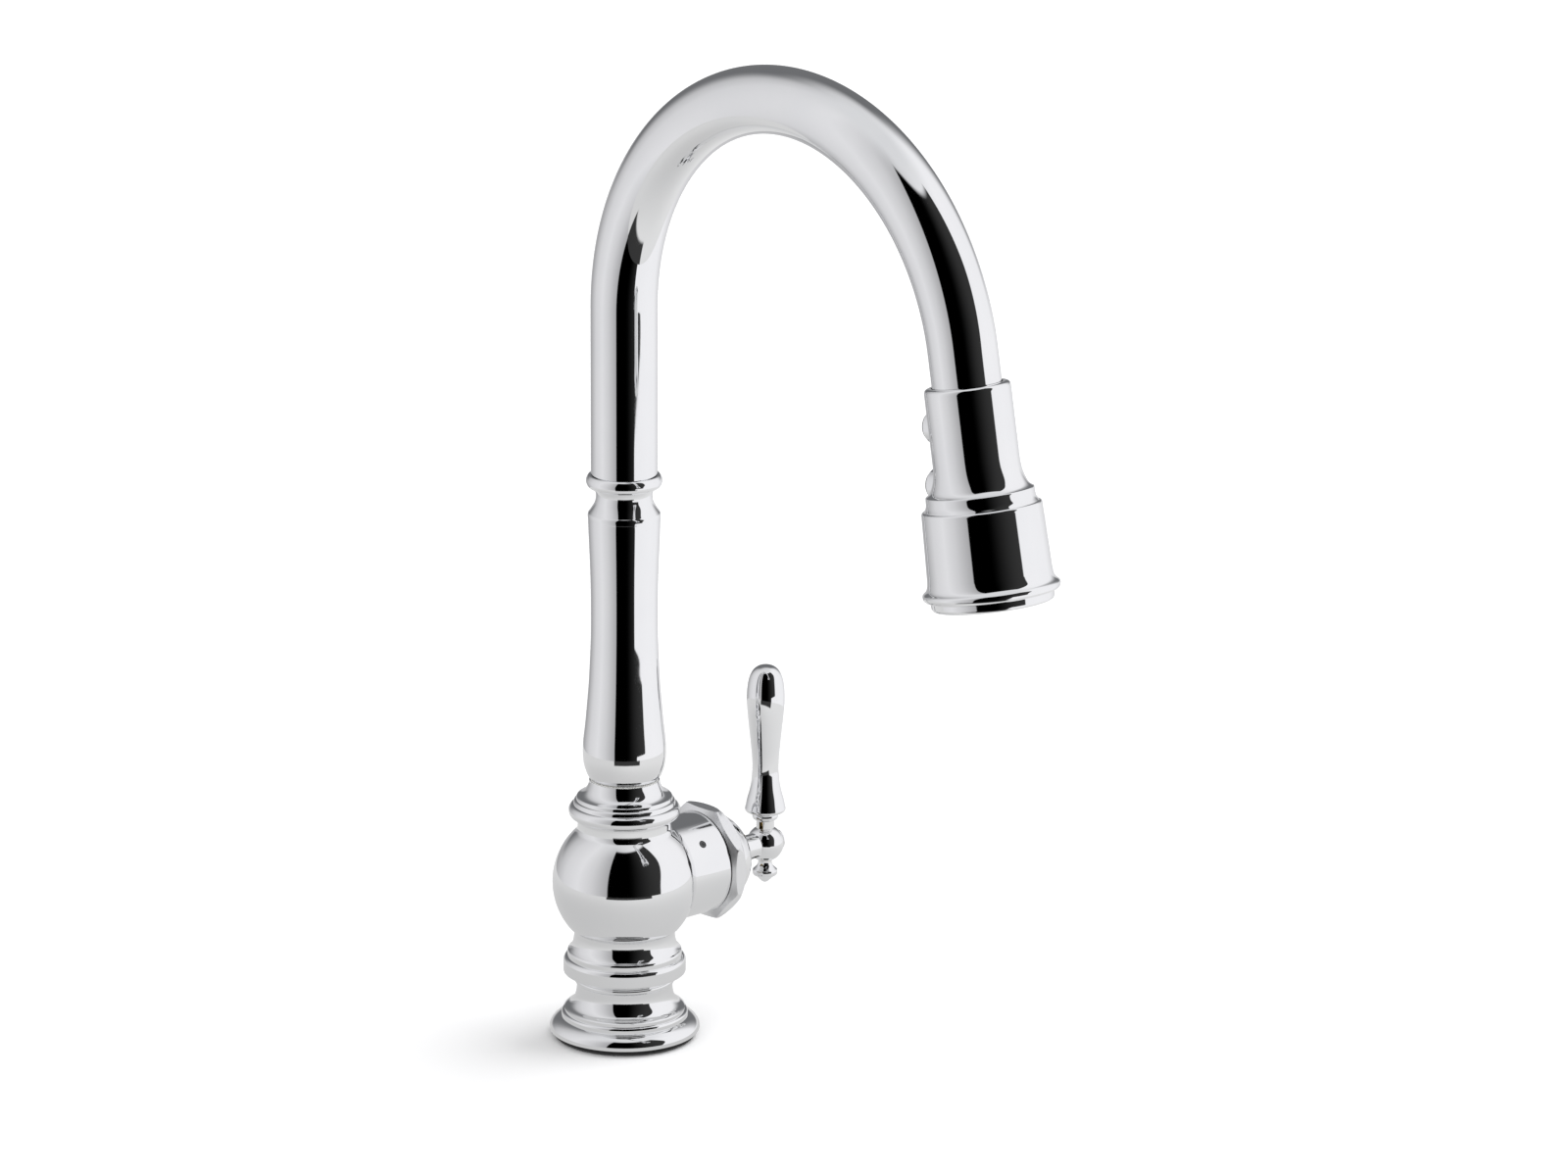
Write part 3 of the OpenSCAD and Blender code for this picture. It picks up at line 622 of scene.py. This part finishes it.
def lever_handle():
    """Neck, tapered grip and lower knob, on the axis of the rod through the hub."""
    seat = HUB_R + 5.9
    top = high("lever_grip").z - BALL_Z
    neck_r = 4
    on_ball = [(r, math.sqrt(HUB_R ** 2 - r ** 2) + 0.03) for r in (ROD_R, neck_r)]
    neck = outline(
        line(*on_ball, (neck_r, seat - 3.5)),
        smooth([
            (neck_r, seat - 3.5), (4.6, seat - 3.1), (5.45, seat - 2.5), (5.8, seat - 1.6), (5.55, seat - 0.5),
            (5.1, seat),
        ]),
        line((5.1, seat), (ROD_R, seat)),
    )
    piece("lever_neck", turned(neck, 96), CHROME, "handle_lever", ["lever_collar"], AT_LEVER)
    grip_profile = outline(
        line((0, seat + 5.3), (ROD_R, seat + 5.3), (ROD_R, seat), (5.2, seat)),
        smooth([
            (5.2, seat), (7.2, seat + 0.35), (8.5, seat + 0.9), (9.05, seat + 1.7), (8.95, seat + 2.7),
            (8.2, 20.3), (7.05, 24.5), (6.25, 29.2), (5.87, 34), (5.98, 39.4), (6.6, 46.3), (7.4, 54.4),
            (8.1, 61.4), (8.35, top - 14.9), (8.1, top - 10.1), (7.3, top - 5.8), (5.9, top - 2.7),
            (3.7, top - 0.75), (1.6, top - 0.08), (0, top),
        ], 8),
    )
    piece("lever_handle", turned(grip_profile, 128), CHROME, "handle_lever", ["lever_grip"], AT_LEVER)
    low_end = -HUB_R
    knob = outline(
        smooth([
            (0, low_end - 9.9), (0.9, low_end - 9.6), (2.3, low_end - 8.5), (3.6, low_end - 7.2),
            (4.5, low_end - 6.5),
        ]),
        smooth([
            (4.5, low_end - 6.5), (5.25, low_end - 6.1), (5.55, low_end - 5.4), (5.6, low_end - 4.6),
            (5.4, low_end - 3.8), (4.9, low_end - 3.3),
        ]),
        smooth([
            (4.9, low_end - 3.3), (4.3, low_end - 2.7), (3.5, low_end - 1.7), (3.15, low_end - 0.7),
            (3.05, low_end + 0.52),
        ]),
        line((3.05, low_end + 0.52), (ROD_R, low_end + 0.52), (ROD_R, -14), (0, -14)),
    )
    piece("lever_finial_knob", turned(knob, 96), CHROME, "handle_lever", ["lever_finial"], AT_LEVER)


# ---------- column and spout ----------
def column():
    """Vase-shaped column with a waisted top, and the bead that the tube stands in."""
    foot_bore = 13.2
    waist = 11
    vase = BEAD_Z - COLUMN_Z - waist
    shape = outline(
        line((foot_bore, 0), (14.8, 0)),
        smooth([
            (14.8, 0), (15.4, 0.6), (16.3, 2.2), (17.3, 5.1), (17.95, 8.7), (18.1, 12), (17.9, 16.5),
            (17.2, 0.19 * vase), (16.3, 0.27 * vase), (15.5, 0.35 * vase), (14.9, 0.445 * vase),
            (14.5, 0.53 * vase), (14.4, 0.61 * vase), (14.45, 0.7 * vase), (14.75, 0.8 * vase),
            (15.2, 0.89 * vase), (15.6, vase - 2.6),
        ]),
        smooth([(15.6, vase - 2.6), (15.7, vase - 1), (15.5, vase - 0.1), (15, vase + 0.6)], 5),
        smooth([
            (15, vase + 0.6), (14.3, vase + 1.6), (13.3, vase + 3.2), (12.5, vase + 5), (12.15, vase + 7),
            (12.25, vase + 8.7), (12.7, vase + 10), (13.2, vase + waist),
        ]),
        line(
            (13.2, vase + waist), (COLUMN_BORE, vase + waist), (COLUMN_BORE, 9), (foot_bore, 9), (foot_bore, 0)
        ),
        lift=COLUMN_Z,
    )
    piece("column", turned(shape), CHROME, "spout", ["vase_column"])
    r = TUBE_R
    bead = outline(
        line((COLUMN_BORE, 0), (r - 0.7, 0)),
        smooth([
            (r - 0.7, 0), (r + 0.7, 0.5), (r + 1.7, 1.6), (r + 2.1, 3), (r + 2, 4.1), (r + 1.5, 5.2),
            (r + 0.8, 6), (r + 0.5, 6.15),
        ]),
        line((r + 0.5, 6.15), (r + 0.4, 5.5), (r, 5.4), (r, 4.4), (COLUMN_BORE, 4.4)),
        lift=BEAD_Z,
    )
    piece("tube_bead", turned(bead), CHROME, "spout", ["neck_bead"])


def swept_neck(mesh, radius, sides=128):
    """Adds a pipe wall along the riser, the arch and the straight end; gives back its two end loops."""
    riser_steps, arch_steps, tail_steps = 12, 132, 5
    start = bmesh.ops.create_circle(
        mesh, cap_ends=False, segments=sides, radius=radius, matrix=Matrix.Translation((0, 0, TUBE_Z))
    )["verts"]
    first = list({edge for spot in start for edge in spot.link_edges})
    loop = stretched(mesh, first, [Vector((0, 0, (ARCH_Z - TUBE_Z) / riser_steps))] * riser_steps)
    spots = list({spot for edge in loop for spot in edge.verts})
    spun = bmesh.ops.spin(
        mesh, geom=spots + loop, cent=(0, -NECK_R, ARCH_Z), axis=(1, 0, 0), angle=NECK_SWEEP, steps=arch_steps
    )
    loop = [part for part in spun["geom_last"] if isinstance(part, bmesh.types.BMEdge)]
    last = stretched(mesh, loop, [HEAD_AXIS * (TUBE_TAIL / tail_steps)] * tail_steps)
    return first, last


def stretched(mesh, loop, steps):
    """Extrudes an edge loop by each step in turn and gives back the last loop."""
    for step in steps:
        made = bmesh.ops.extrude_edge_only(mesh, edges=loop)["geom"]
        loop = [part for part in made if isinstance(part, bmesh.types.BMEdge)]
        new = [part for part in made if isinstance(part, bmesh.types.BMVert)]
        bmesh.ops.translate(mesh, vec=step, verts=new)
    return loop


def gooseneck():
    """Bent tube in one piece, from the bead to the tip under the spray head."""
    mesh = bmesh.new()
    outer_first, outer_last = swept_neck(mesh, TUBE_R - 0.005)
    inner_first, inner_last = swept_neck(mesh, TUBE_R - TUBE_WALL)
    bmesh.ops.bridge_loops(mesh, edges=outer_first + inner_first)
    bmesh.ops.bridge_loops(mesh, edges=outer_last + inner_last)
    bmesh.ops.recalc_face_normals(mesh, faces=mesh.faces)
    piece("gooseneck", mesh, CHROME, "spout", ["gooseneck_tube", "spout_tip"])


# ---------- spray head ----------
def grip():
    """Tapered grip with a step ring at its lower end and two bosses for the buttons."""
    g = GRIP_R
    step_u = CUP_U - 6
    rim_bore = 14.7
    shell = turned(outline(
        line((rim_bore, RIM_U), (16, RIM_U)),
        smooth([(16, RIM_U), (16.9, RIM_U + 0.3), (17.5, RIM_U + 1), (g, RIM_U + 2)], 5),
        line((g, RIM_U + 2), (g, step_u - 14)),
        smooth([
            (g, step_u - 14), (g + 0.12, step_u - 10), (g + 0.72, step_u - 6), (g + 1.8, step_u - 2.9),
            (g + 3.1, step_u - 0.8), (g + 4, step_u - 0.1),
        ]),
        smooth([(g + 4, step_u - 0.1), (g + 4.4, step_u + 0.15), (g + 4.55, step_u + 0.7)], 4),
        smooth([
            (g + 4.55, step_u + 0.7), (g + 4.6, step_u + 2.6), (g + 4.9, step_u + 4.4), (g + 5.5, CUP_U - 0.5),
            (g + 5.8, CUP_U),
        ]),
        line(
            (g + 5.8, CUP_U), (g - 0.2, CUP_U), (g - 2.2, step_u - 6), (g - 2.8, RIM_U + 11),
            (rim_bore, RIM_U + 10.6), (rim_bore, RIM_U),
        ),
    ))
    hollow = rod(g - 1.5, RIM_U, CUP_U)
    boss_root = g - 3.7
    boss_r = 7.3
    edge = 0.4
    for u, crown in BUTTONS.values():
        out = on_head_side(u)
        end = crown - 2.1
        boss = moved(turned(outline(
            line((0, boss_root), (boss_r, boss_root), (boss_r, end - edge)),
            arc((boss_r - edge, end - edge), edge, 0, 90, 6),
            line((boss_r - edge, end), (0, end)),
        ), 96), out)
        boss = combined(boss, hollow.copy(), "DIFFERENCE")
        shell = combined(shell, boss, "UNION")
        shell = combined(shell, moved(rod(boss_r - 0.6, boss_root, crown, 96), out), "DIFFERENCE")
    hollow.free()
    piece("spray_grip", shell, CHROME, "spray_head", ["grip_shell"], AT_HEAD)


def cup():
    """Flared cup with a rolled flange, and the rim below it."""
    c = CUP_R
    f = FLANGE_U
    bore = c - 2.3
    bell = outline(
        line((bore, CUP_U), (c - 0.8, CUP_U)),
        smooth([(c - 0.8, CUP_U), (c - 0.35, CUP_U + 0.25), (c - 0.05, CUP_U + 0.8), (c, CUP_U + 1.6)], 5),
        line((c, CUP_U + 1.6), (c + 0.85, f - 9)),
        smooth([(c + 0.85, f - 9), (c + 1.15, f - 6.6), (c + 2, f - 4.6), (c + 2.9, f - 3.8)]),
        smooth([
            (c + 2.9, f - 3.8), (c + 3.4, f - 3.2), (c + 3.5, f - 2.4), (c + 3.2, f - 1.3), (c + 2.2, f - 0.35),
            (c + 0.9, f),
        ]),
        line((c + 0.9, f), (bore, f), (bore, CUP_U)),
    )
    piece("spray_cup", turned(bell), CHROME, "spray_head", ["cup_shell"], AT_HEAD)
    rim = outline(
        line((c - 3.1, f + 1), (bore, f + 1), (bore, f), (c + 0.6, f), (c + 0.45, f + 2.4)),
        smooth([(c + 0.45, f + 2.4), (c + 0.2, f + 3), (c - 0.4, f + 3.6), (c - 1.1, FACE_U)], 5),
        line((c - 1.1, FACE_U), (c - 3.1, FACE_U), (c - 3.1, f + 1)),
    )
    piece("spray_rim", turned(rim), CHROME, "spray_head", ["face_skirt"], AT_HEAD)


def buttons():
    """Stepped plungers with softly domed ends."""
    foot_r = 2.6
    radius = 6.4
    shoulder = 5.8
    dome_r = 26
    start = math.degrees(math.acos(shoulder / dome_r))
    plunger = GRIP_R - 5.1 + 1.2 + 0.5
    for where, body in (("upper", "button_top"), ("lower", "button_bottom")):
        u, crown = BUTTONS[where]
        edge = crown - dome_r + math.sqrt(dome_r ** 2 - shoulder ** 2)
        shape = outline(
            line(
                (0, plunger), (foot_r, plunger), (foot_r, plunger + 2), (radius, plunger + 2),
                (radius, edge - 0.6),
            ),
            smooth([(radius, edge - 0.6), (6.25, edge - 0.15), (shoulder, edge)], 5),
            arc((0, crown - dome_r), dome_r, start, 90, 12),
        )
        button = turned(shape, 96)
        piece(f"{where}_spray_button", button, BUTTON, body, [f"button_{where}"], AT_HEAD @ on_head_side(u))


def pull_hose():
    """Hose between the spout and the head, with rings that lie close together in its middle and further apart at
    its ends.

    Each ring's run is its distance along the drawn hose, which the braid's map follows.
    """
    length, rings, sides = 6.0, 110, 48
    mesh = bmesh.new()
    run = mesh.verts.layers.float.new("run")
    loops = []
    for radius in (HOSE_R, HOSE_BORE):
        spots = bmesh.ops.create_circle(mesh, cap_ends=False, segments=sides, radius=radius)["verts"]
        loop = list({edge for spot in spots for edge in spot.link_edges})
        first, place = loop, 0.0
        for ring in range(1, rings + 1):
            share = ring / rings
            along = length * (0.5 - math.sin(math.asin(1 - 2 * share) / 3))
            made = bmesh.ops.extrude_edge_only(mesh, edges=loop)["geom"]
            loop = [part for part in made if isinstance(part, bmesh.types.BMEdge)]
            new = [part for part in made if isinstance(part, bmesh.types.BMVert)]
            bmesh.ops.translate(mesh, vec=(0, 0, along - place), verts=new)
            for spot in new:
                spot[run] = along + PULL * share
            place = along
        loops.append((first, loop))
    for end in (0, 1):
        bmesh.ops.bridge_loops(mesh, edges=loops[0][end] + loops[1][end])
    bmesh.ops.recalc_face_normals(mesh, faces=mesh.faces)
    flat = mesh.loops.layers.uv.new("UVMap")
    girth = 2 * math.pi * HOSE_R
    for face in mesh.faces:
        turns = [math.atan2(corner.vert.co.y, corner.vert.co.x) / (2 * math.pi) for corner in face.loops]
        for corner, turn in zip(face.loops, turns):
            if max(turns) - turn > 0.5:
                turn += 1
            corner[flat].uv = (turn * girth, corner.vert[run])
    ends = [HEAD_SPOT * MM, (HEAD_SPOT + HEAD_AXIS * length) * MM]
    piece("pull_hose", mesh, BRAID, ("spout", "hose_end", *ends), ["hose_tail"], AT_HEAD)


# ---------- finishes of the frame's own pieces ----------
FRAME_FINISHES = {
    "brass": BRASS, "steel": STEEL, "copper": COPPER, "rubber": RUBBER, "hose": RUBBER,
    "white_plastic": WHITE, "ceramic": CERAMIC, "dark_plastic": DARK, "button_plastic": BUTTON,
    "grey_plastic": GREY, "chrome": CHROME,
}


def finish_frame_nodes():
    """Gives the frame's own nodes the same finishes, by their slots."""
    slots = {part["node"]: part["material_slot"] for part in frame["record"]["subparts"]}
    for name, node in frame["nodes"].items():
        node.data.materials.clear()
        node.data.materials.append(FRAME_FINISHES[slots[name]])


# ---------- camera, floor and light ----------
CAMERA_SPOT = Vector((-1.9732, -2.3006, 1.0712))
CAMERA_TURN = math.radians(-40.81)
CAMERA_TILT = math.radians(74)
TO_CAMERA = Vector((math.sin(CAMERA_TURN), -math.cos(CAMERA_TURN), 0))
TO_RIGHT = Vector((math.cos(CAMERA_TURN), math.sin(CAMERA_TURN), 0))


def set_camera():
    """Long lens from the front left, a little above the faucet."""
    data = bpy.data.cameras.new("camera")
    data.lens = 168.43
    data.sensor_width = 36
    data.shift_x = 0.0869
    data.clip_end = 60
    camera = bpy.data.objects.new("camera", data)
    camera.location = CAMERA_SPOT
    camera.rotation_euler = (CAMERA_TILT, 0, CAMERA_TURN)
    bpy.context.scene.collection.objects.link(camera)
    bpy.context.scene.camera = camera


def staged(name, mesh, material):
    """Adds a thing of the studio, which isn't part of the object."""
    data = bpy.data.meshes.new(name)
    mesh.to_mesh(data)
    mesh.free()
    thing = bpy.data.objects.new(name, data)
    bpy.context.scene.collection.objects.link(thing)
    data.materials.append(material)
    return thing


def only_in_reflections(thing):
    """Hides a thing from the camera and lets only glossy surfaces see it."""
    thing.visible_camera = False
    thing.visible_diffuse = False
    thing.visible_shadow = False
    thing.visible_transmission = False
    thing.visible_volume_scatter = False


def math_node(tree, operation, first, second=None):
    """One operation on values that are numbers or sockets."""
    node = tree.nodes.new("ShaderNodeMath")
    node.operation = operation
    for socket, value in zip(node.inputs, (first, second)):
        if value is None:
            continue
        if isinstance(value, (int, float)):
            socket.default_value = value
        else:
            tree.links.new(value, socket)
    return node.outputs["Value"]


def product(tree, first, second):
    return math_node(tree, "MULTIPLY", first, second)


def total(tree, first, second):
    return math_node(tree, "ADD", first, second)


def opposite(tree, value):
    """1 less the value."""
    return math_node(tree, "SUBTRACT", 1, value)


def ramp_between(tree, value, start, end):
    """0 before start, 1 after end, smooth between."""
    node = tree.nodes.new("ShaderNodeMapRange")
    node.interpolation_type = "SMOOTHSTEP"
    for name, given in (("From Min", start), ("From Max", end)):
        if isinstance(given, (int, float)):
            node.inputs[name].default_value = given
        else:
            tree.links.new(given, node.inputs[name])
    tree.links.new(value, node.inputs["Value"])
    return node.outputs["Result"]


MIX_A, MIX_B, MIX_RESULT = 6, 7, 2  # the colour sockets of a Mix node


def mixed_colour(tree, amount, first, second):
    """From first to second by amount; second is a colour or a socket."""
    node = tree.nodes.new("ShaderNodeMix")
    node.data_type = "RGBA"
    tree.links.new(amount, node.inputs["Factor"])
    tree.links.new(first, node.inputs[MIX_A])
    if isinstance(second, tuple):
        node.inputs[MIX_B].default_value = (*second, 1)
    else:
        tree.links.new(second, node.inputs[MIX_B])
    return node.outputs[MIX_RESULT]


def emission_material(name):
    """A material that only glows, with its tree, glow and Object coordinates."""
    material = bpy.data.materials.new(name)
    material.use_nodes = True
    tree = material.node_tree
    tree.nodes.clear()
    output = tree.nodes.new("ShaderNodeOutputMaterial")
    glow = tree.nodes.new("ShaderNodeEmission")
    tree.links.new(glow.outputs["Emission"], output.inputs["Surface"])
    where = tree.nodes.new("ShaderNodeTexCoord").outputs["Object"]
    return material, tree, glow, where


def part_along(tree, where, direction):
    """How far a place lies along a direction."""
    node = tree.nodes.new("ShaderNodeVectorMath")
    node.operation = "DOT_PRODUCT"
    tree.links.new(where, node.inputs[0])
    node.inputs[1].default_value = direction
    return node.outputs["Value"]


# Tones of the walls all round, as (degrees from the camera's side, grey)
WALL_TONES = [
    (-180, 0.55), (-150, 0.4), (-112, 0.72), (-80, 0.82), (-55, 0.68), (-28, 0.44), (34, 0.94), (90, 0.97),
    (125, 0.95), (150, 0.78), (180, 0.55),
]
WALL_R = 3
CEILING = (0.74, 0.745, 0.76)
CEILING_RISE = (50, 80)
BACK_WALL = (0.165, 0.168, 0.175)
BACK_TURN = (128, 158)
BACK_RISE = ((0, 8), (45, 68))
DARK_LEFT = (-28, -26)
DARK_RIGHT = 34
DARK_TOP = (62, 66)
DARK_STEP = ((-10, -8), 24)
DARK_LEAN = ((0, 40), 12)
ROOM_TONE = ((5, 60), 0.035)


def studio_walls():
    """What the plate mirrors: a grey flat on the left, a white one on the right and a dark room between them.

    Turn is the angle round from the camera's side, to the right; rise is the angle above the deck. Both are in
    degrees, and each pair of them is where a change starts and ends.
    """
    material, tree, glow, where = emission_material("studio_walls")
    ahead = part_along(tree, where, TO_CAMERA)
    right = part_along(tree, where, TO_RIGHT)
    up = part_along(tree, where, (0, 0, 1))
    level = math_node(tree, "SQRT", total(tree, product(tree, ahead, ahead), product(tree, right, right)))
    turn = product(tree, math_node(tree, "ARCTAN2", right, ahead), 180 / math.pi)
    rise = product(tree, math_node(tree, "ARCTAN2", up, level), 180 / math.pi)

    round_the_room = tree.nodes.new("ShaderNodeValToRGB")
    ramp = round_the_room.color_ramp
    for at, tone in WALL_TONES[1:-1]:
        ramp.elements.new((at + 180) / 360)
    for element, (at, tone) in zip(ramp.elements, WALL_TONES):
        element.position = (at + 180) / 360
        element.color = (tone * 0.982, tone * 0.98, tone, 1)
    tree.links.new(math_node(tree, "DIVIDE", total(tree, turn, 180), 360), round_the_room.inputs["Fac"])

    # The dark room's right edge steps outwards just below the deck's level and leans outwards above it.
    right_edge = DARK_RIGHT
    for (start, end), outwards in (DARK_STEP, DARK_LEAN):
        right_edge = total(tree, right_edge, product(tree, ramp_between(tree, rise, start, end), outwards))
    past_right = ramp_between(tree, turn, right_edge, total(tree, right_edge, 2))
    dark = product(tree, ramp_between(tree, turn, *DARK_LEFT), opposite(tree, past_right))
    dark = product(tree, dark, opposite(tree, ramp_between(tree, rise, *DARK_TOP)))
    lit, room_tone = ROOM_TONE
    room = product(tree, ramp_between(tree, turn, *lit), room_tone)

    overhead = ramp_between(tree, rise, *CEILING_RISE)
    walls = mixed_colour(tree, overhead, round_the_room.outputs["Color"], CEILING)
    behind = ramp_between(tree, math_node(tree, "ABSOLUTE", turn), *BACK_TURN)
    foot_of_wall, top_of_wall = (ramp_between(tree, rise, *span) for span in BACK_RISE)
    low_down = math_node(tree, "SUBTRACT", foot_of_wall, top_of_wall)
    walls = mixed_colour(tree, product(tree, behind, low_down), walls, BACK_WALL)
    tree.links.new(mixed_colour(tree, dark, walls, room), glow.inputs["Color"])

    mesh = bmesh.new()
    bmesh.ops.create_icosphere(mesh, subdivisions=5, radius=WALL_R)
    only_in_reflections(staged("studio_walls", mesh, material))


# Painted reflection of the table: a grey tone, painted shade by the foot that fades away from it, and painted
# light to the right
TABLE_R = 0.47
TABLE_TONE = 0.54
FOOT_SHADE_FADE = ((0.02, 0.4), 0.16)
RIGHT_PAINTED_LIGHT = ((-0.25, 0.15), 0.1)
# Dark rim on the camera's side: a painted reflection of the dark room
RIM_FROM = (0.325, 0.35)
RIM_LEFT = (-0.5, -0.46)
RIM_RIGHT = (0.72, 0.76)
RIM_DEPTH = 0.95


def painted_table_reflection():
    """The table as the plate mirrors it, a painted reflection: grey, with painted shade by the foot and painted
    light to the right.

    Its rim is dark on the camera's side, between two angles in radians, a painted reflection of the dark room.
    Distances are in metres.
    """
    material, tree, glow, where = emission_material("painted_table_reflection")
    length = tree.nodes.new("ShaderNodeVectorMath")
    length.operation = "LENGTH"
    tree.links.new(where, length.inputs[0])
    away = length.outputs["Value"]
    ahead = part_along(tree, where, TO_CAMERA)
    right = part_along(tree, where, TO_RIGHT)
    # Painted shade by the foot, lightening with distance from it, and painted light lightening it to the right
    lighter = [
        product(tree, ramp_between(tree, distance, *span), gain)
        for distance, (span, gain) in ((away, FOOT_SHADE_FADE), (right, RIGHT_PAINTED_LIGHT))
    ]
    tone = total(tree, total(tree, *lighter), TABLE_TONE)
    # Painted reflection of the dark room: the rim darkens on the camera's side
    turn = math_node(tree, "ARCTAN2", right, ahead)
    facing = math_node(
        tree, "SUBTRACT", ramp_between(tree, turn, *RIM_LEFT), ramp_between(tree, turn, *RIM_RIGHT)
    )
    rim = product(tree, facing, ramp_between(tree, away, *RIM_FROM))
    tone = product(tree, tone, opposite(tree, product(tree, rim, RIM_DEPTH)))
    tree.links.new(tone, glow.inputs["Color"])
    mesh = bmesh.new()
    bmesh.ops.create_circle(mesh, cap_ends=True, segments=128, radius=TABLE_R)
    only_in_reflections(staged("painted_table_reflection", mesh, material))


def floor():
    """Pale ground just under the foot, left out of reflections."""
    material = bpy.data.materials.new("pale_floor")
    material.use_nodes = True
    tree = material.node_tree
    shader = next(node for node in tree.nodes if node.type == "BSDF_PRINCIPLED")
    where = tree.nodes.new("ShaderNodeTexCoord").outputs["Object"]
    tint = two_tone(tree, noise(tree, where, 3, 2), (0.795, 0.795, 0.8), (0.81, 0.81, 0.815))
    tree.links.new(tint, shader.inputs["Base Color"])
    shader.inputs["Roughness"].default_value = 0.9
    shader.inputs["Specular IOR Level"].default_value = 0.1
    mesh = bmesh.new()
    bmesh.ops.create_grid(mesh, x_segments=2, y_segments=2, size=20)
    bmesh.ops.translate(mesh, vec=(0, 0, -0.0004), verts=mesh.verts)
    ground = staged("floor", mesh, material)
    ground.visible_glossy = False


def lights():
    """Even white surroundings, and a wide soft sun from behind and to the right for the shadow."""
    world = bpy.data.worlds.new("studio")
    bpy.context.scene.world = world
    world.use_nodes = True
    back = next(node for node in world.node_tree.nodes if node.type == "BACKGROUND")
    back.inputs["Color"].default_value = (1, 1, 1, 1)
    back.inputs["Strength"].default_value = 1.0
    data = bpy.data.lights.new("key", "SUN")
    data.angle = math.radians(48)
    data.energy = 1.9
    key = bpy.data.objects.new("key", data)
    toward = TO_RIGHT * 0.8 - TO_CAMERA * 0.3 + Vector((0, 0, 1.25))
    key.rotation_euler = toward.to_track_quat("Z", "Y").to_euler()
    key.visible_glossy = False
    bpy.context.scene.collection.objects.link(key)


set_camera()
foot()
valve_body()
port_screw()
collar()
gasket()
side_nut()
dome_cover()
lever_stem()
hub()
lever_handle()
column()
gooseneck()
grip()
cup()
buttons()
pull_hose()
finish_frame_nodes()
floor()
studio_walls()
painted_table_reflection()
lights()
bpy.context.scene.view_settings.view_transform = "Standard"
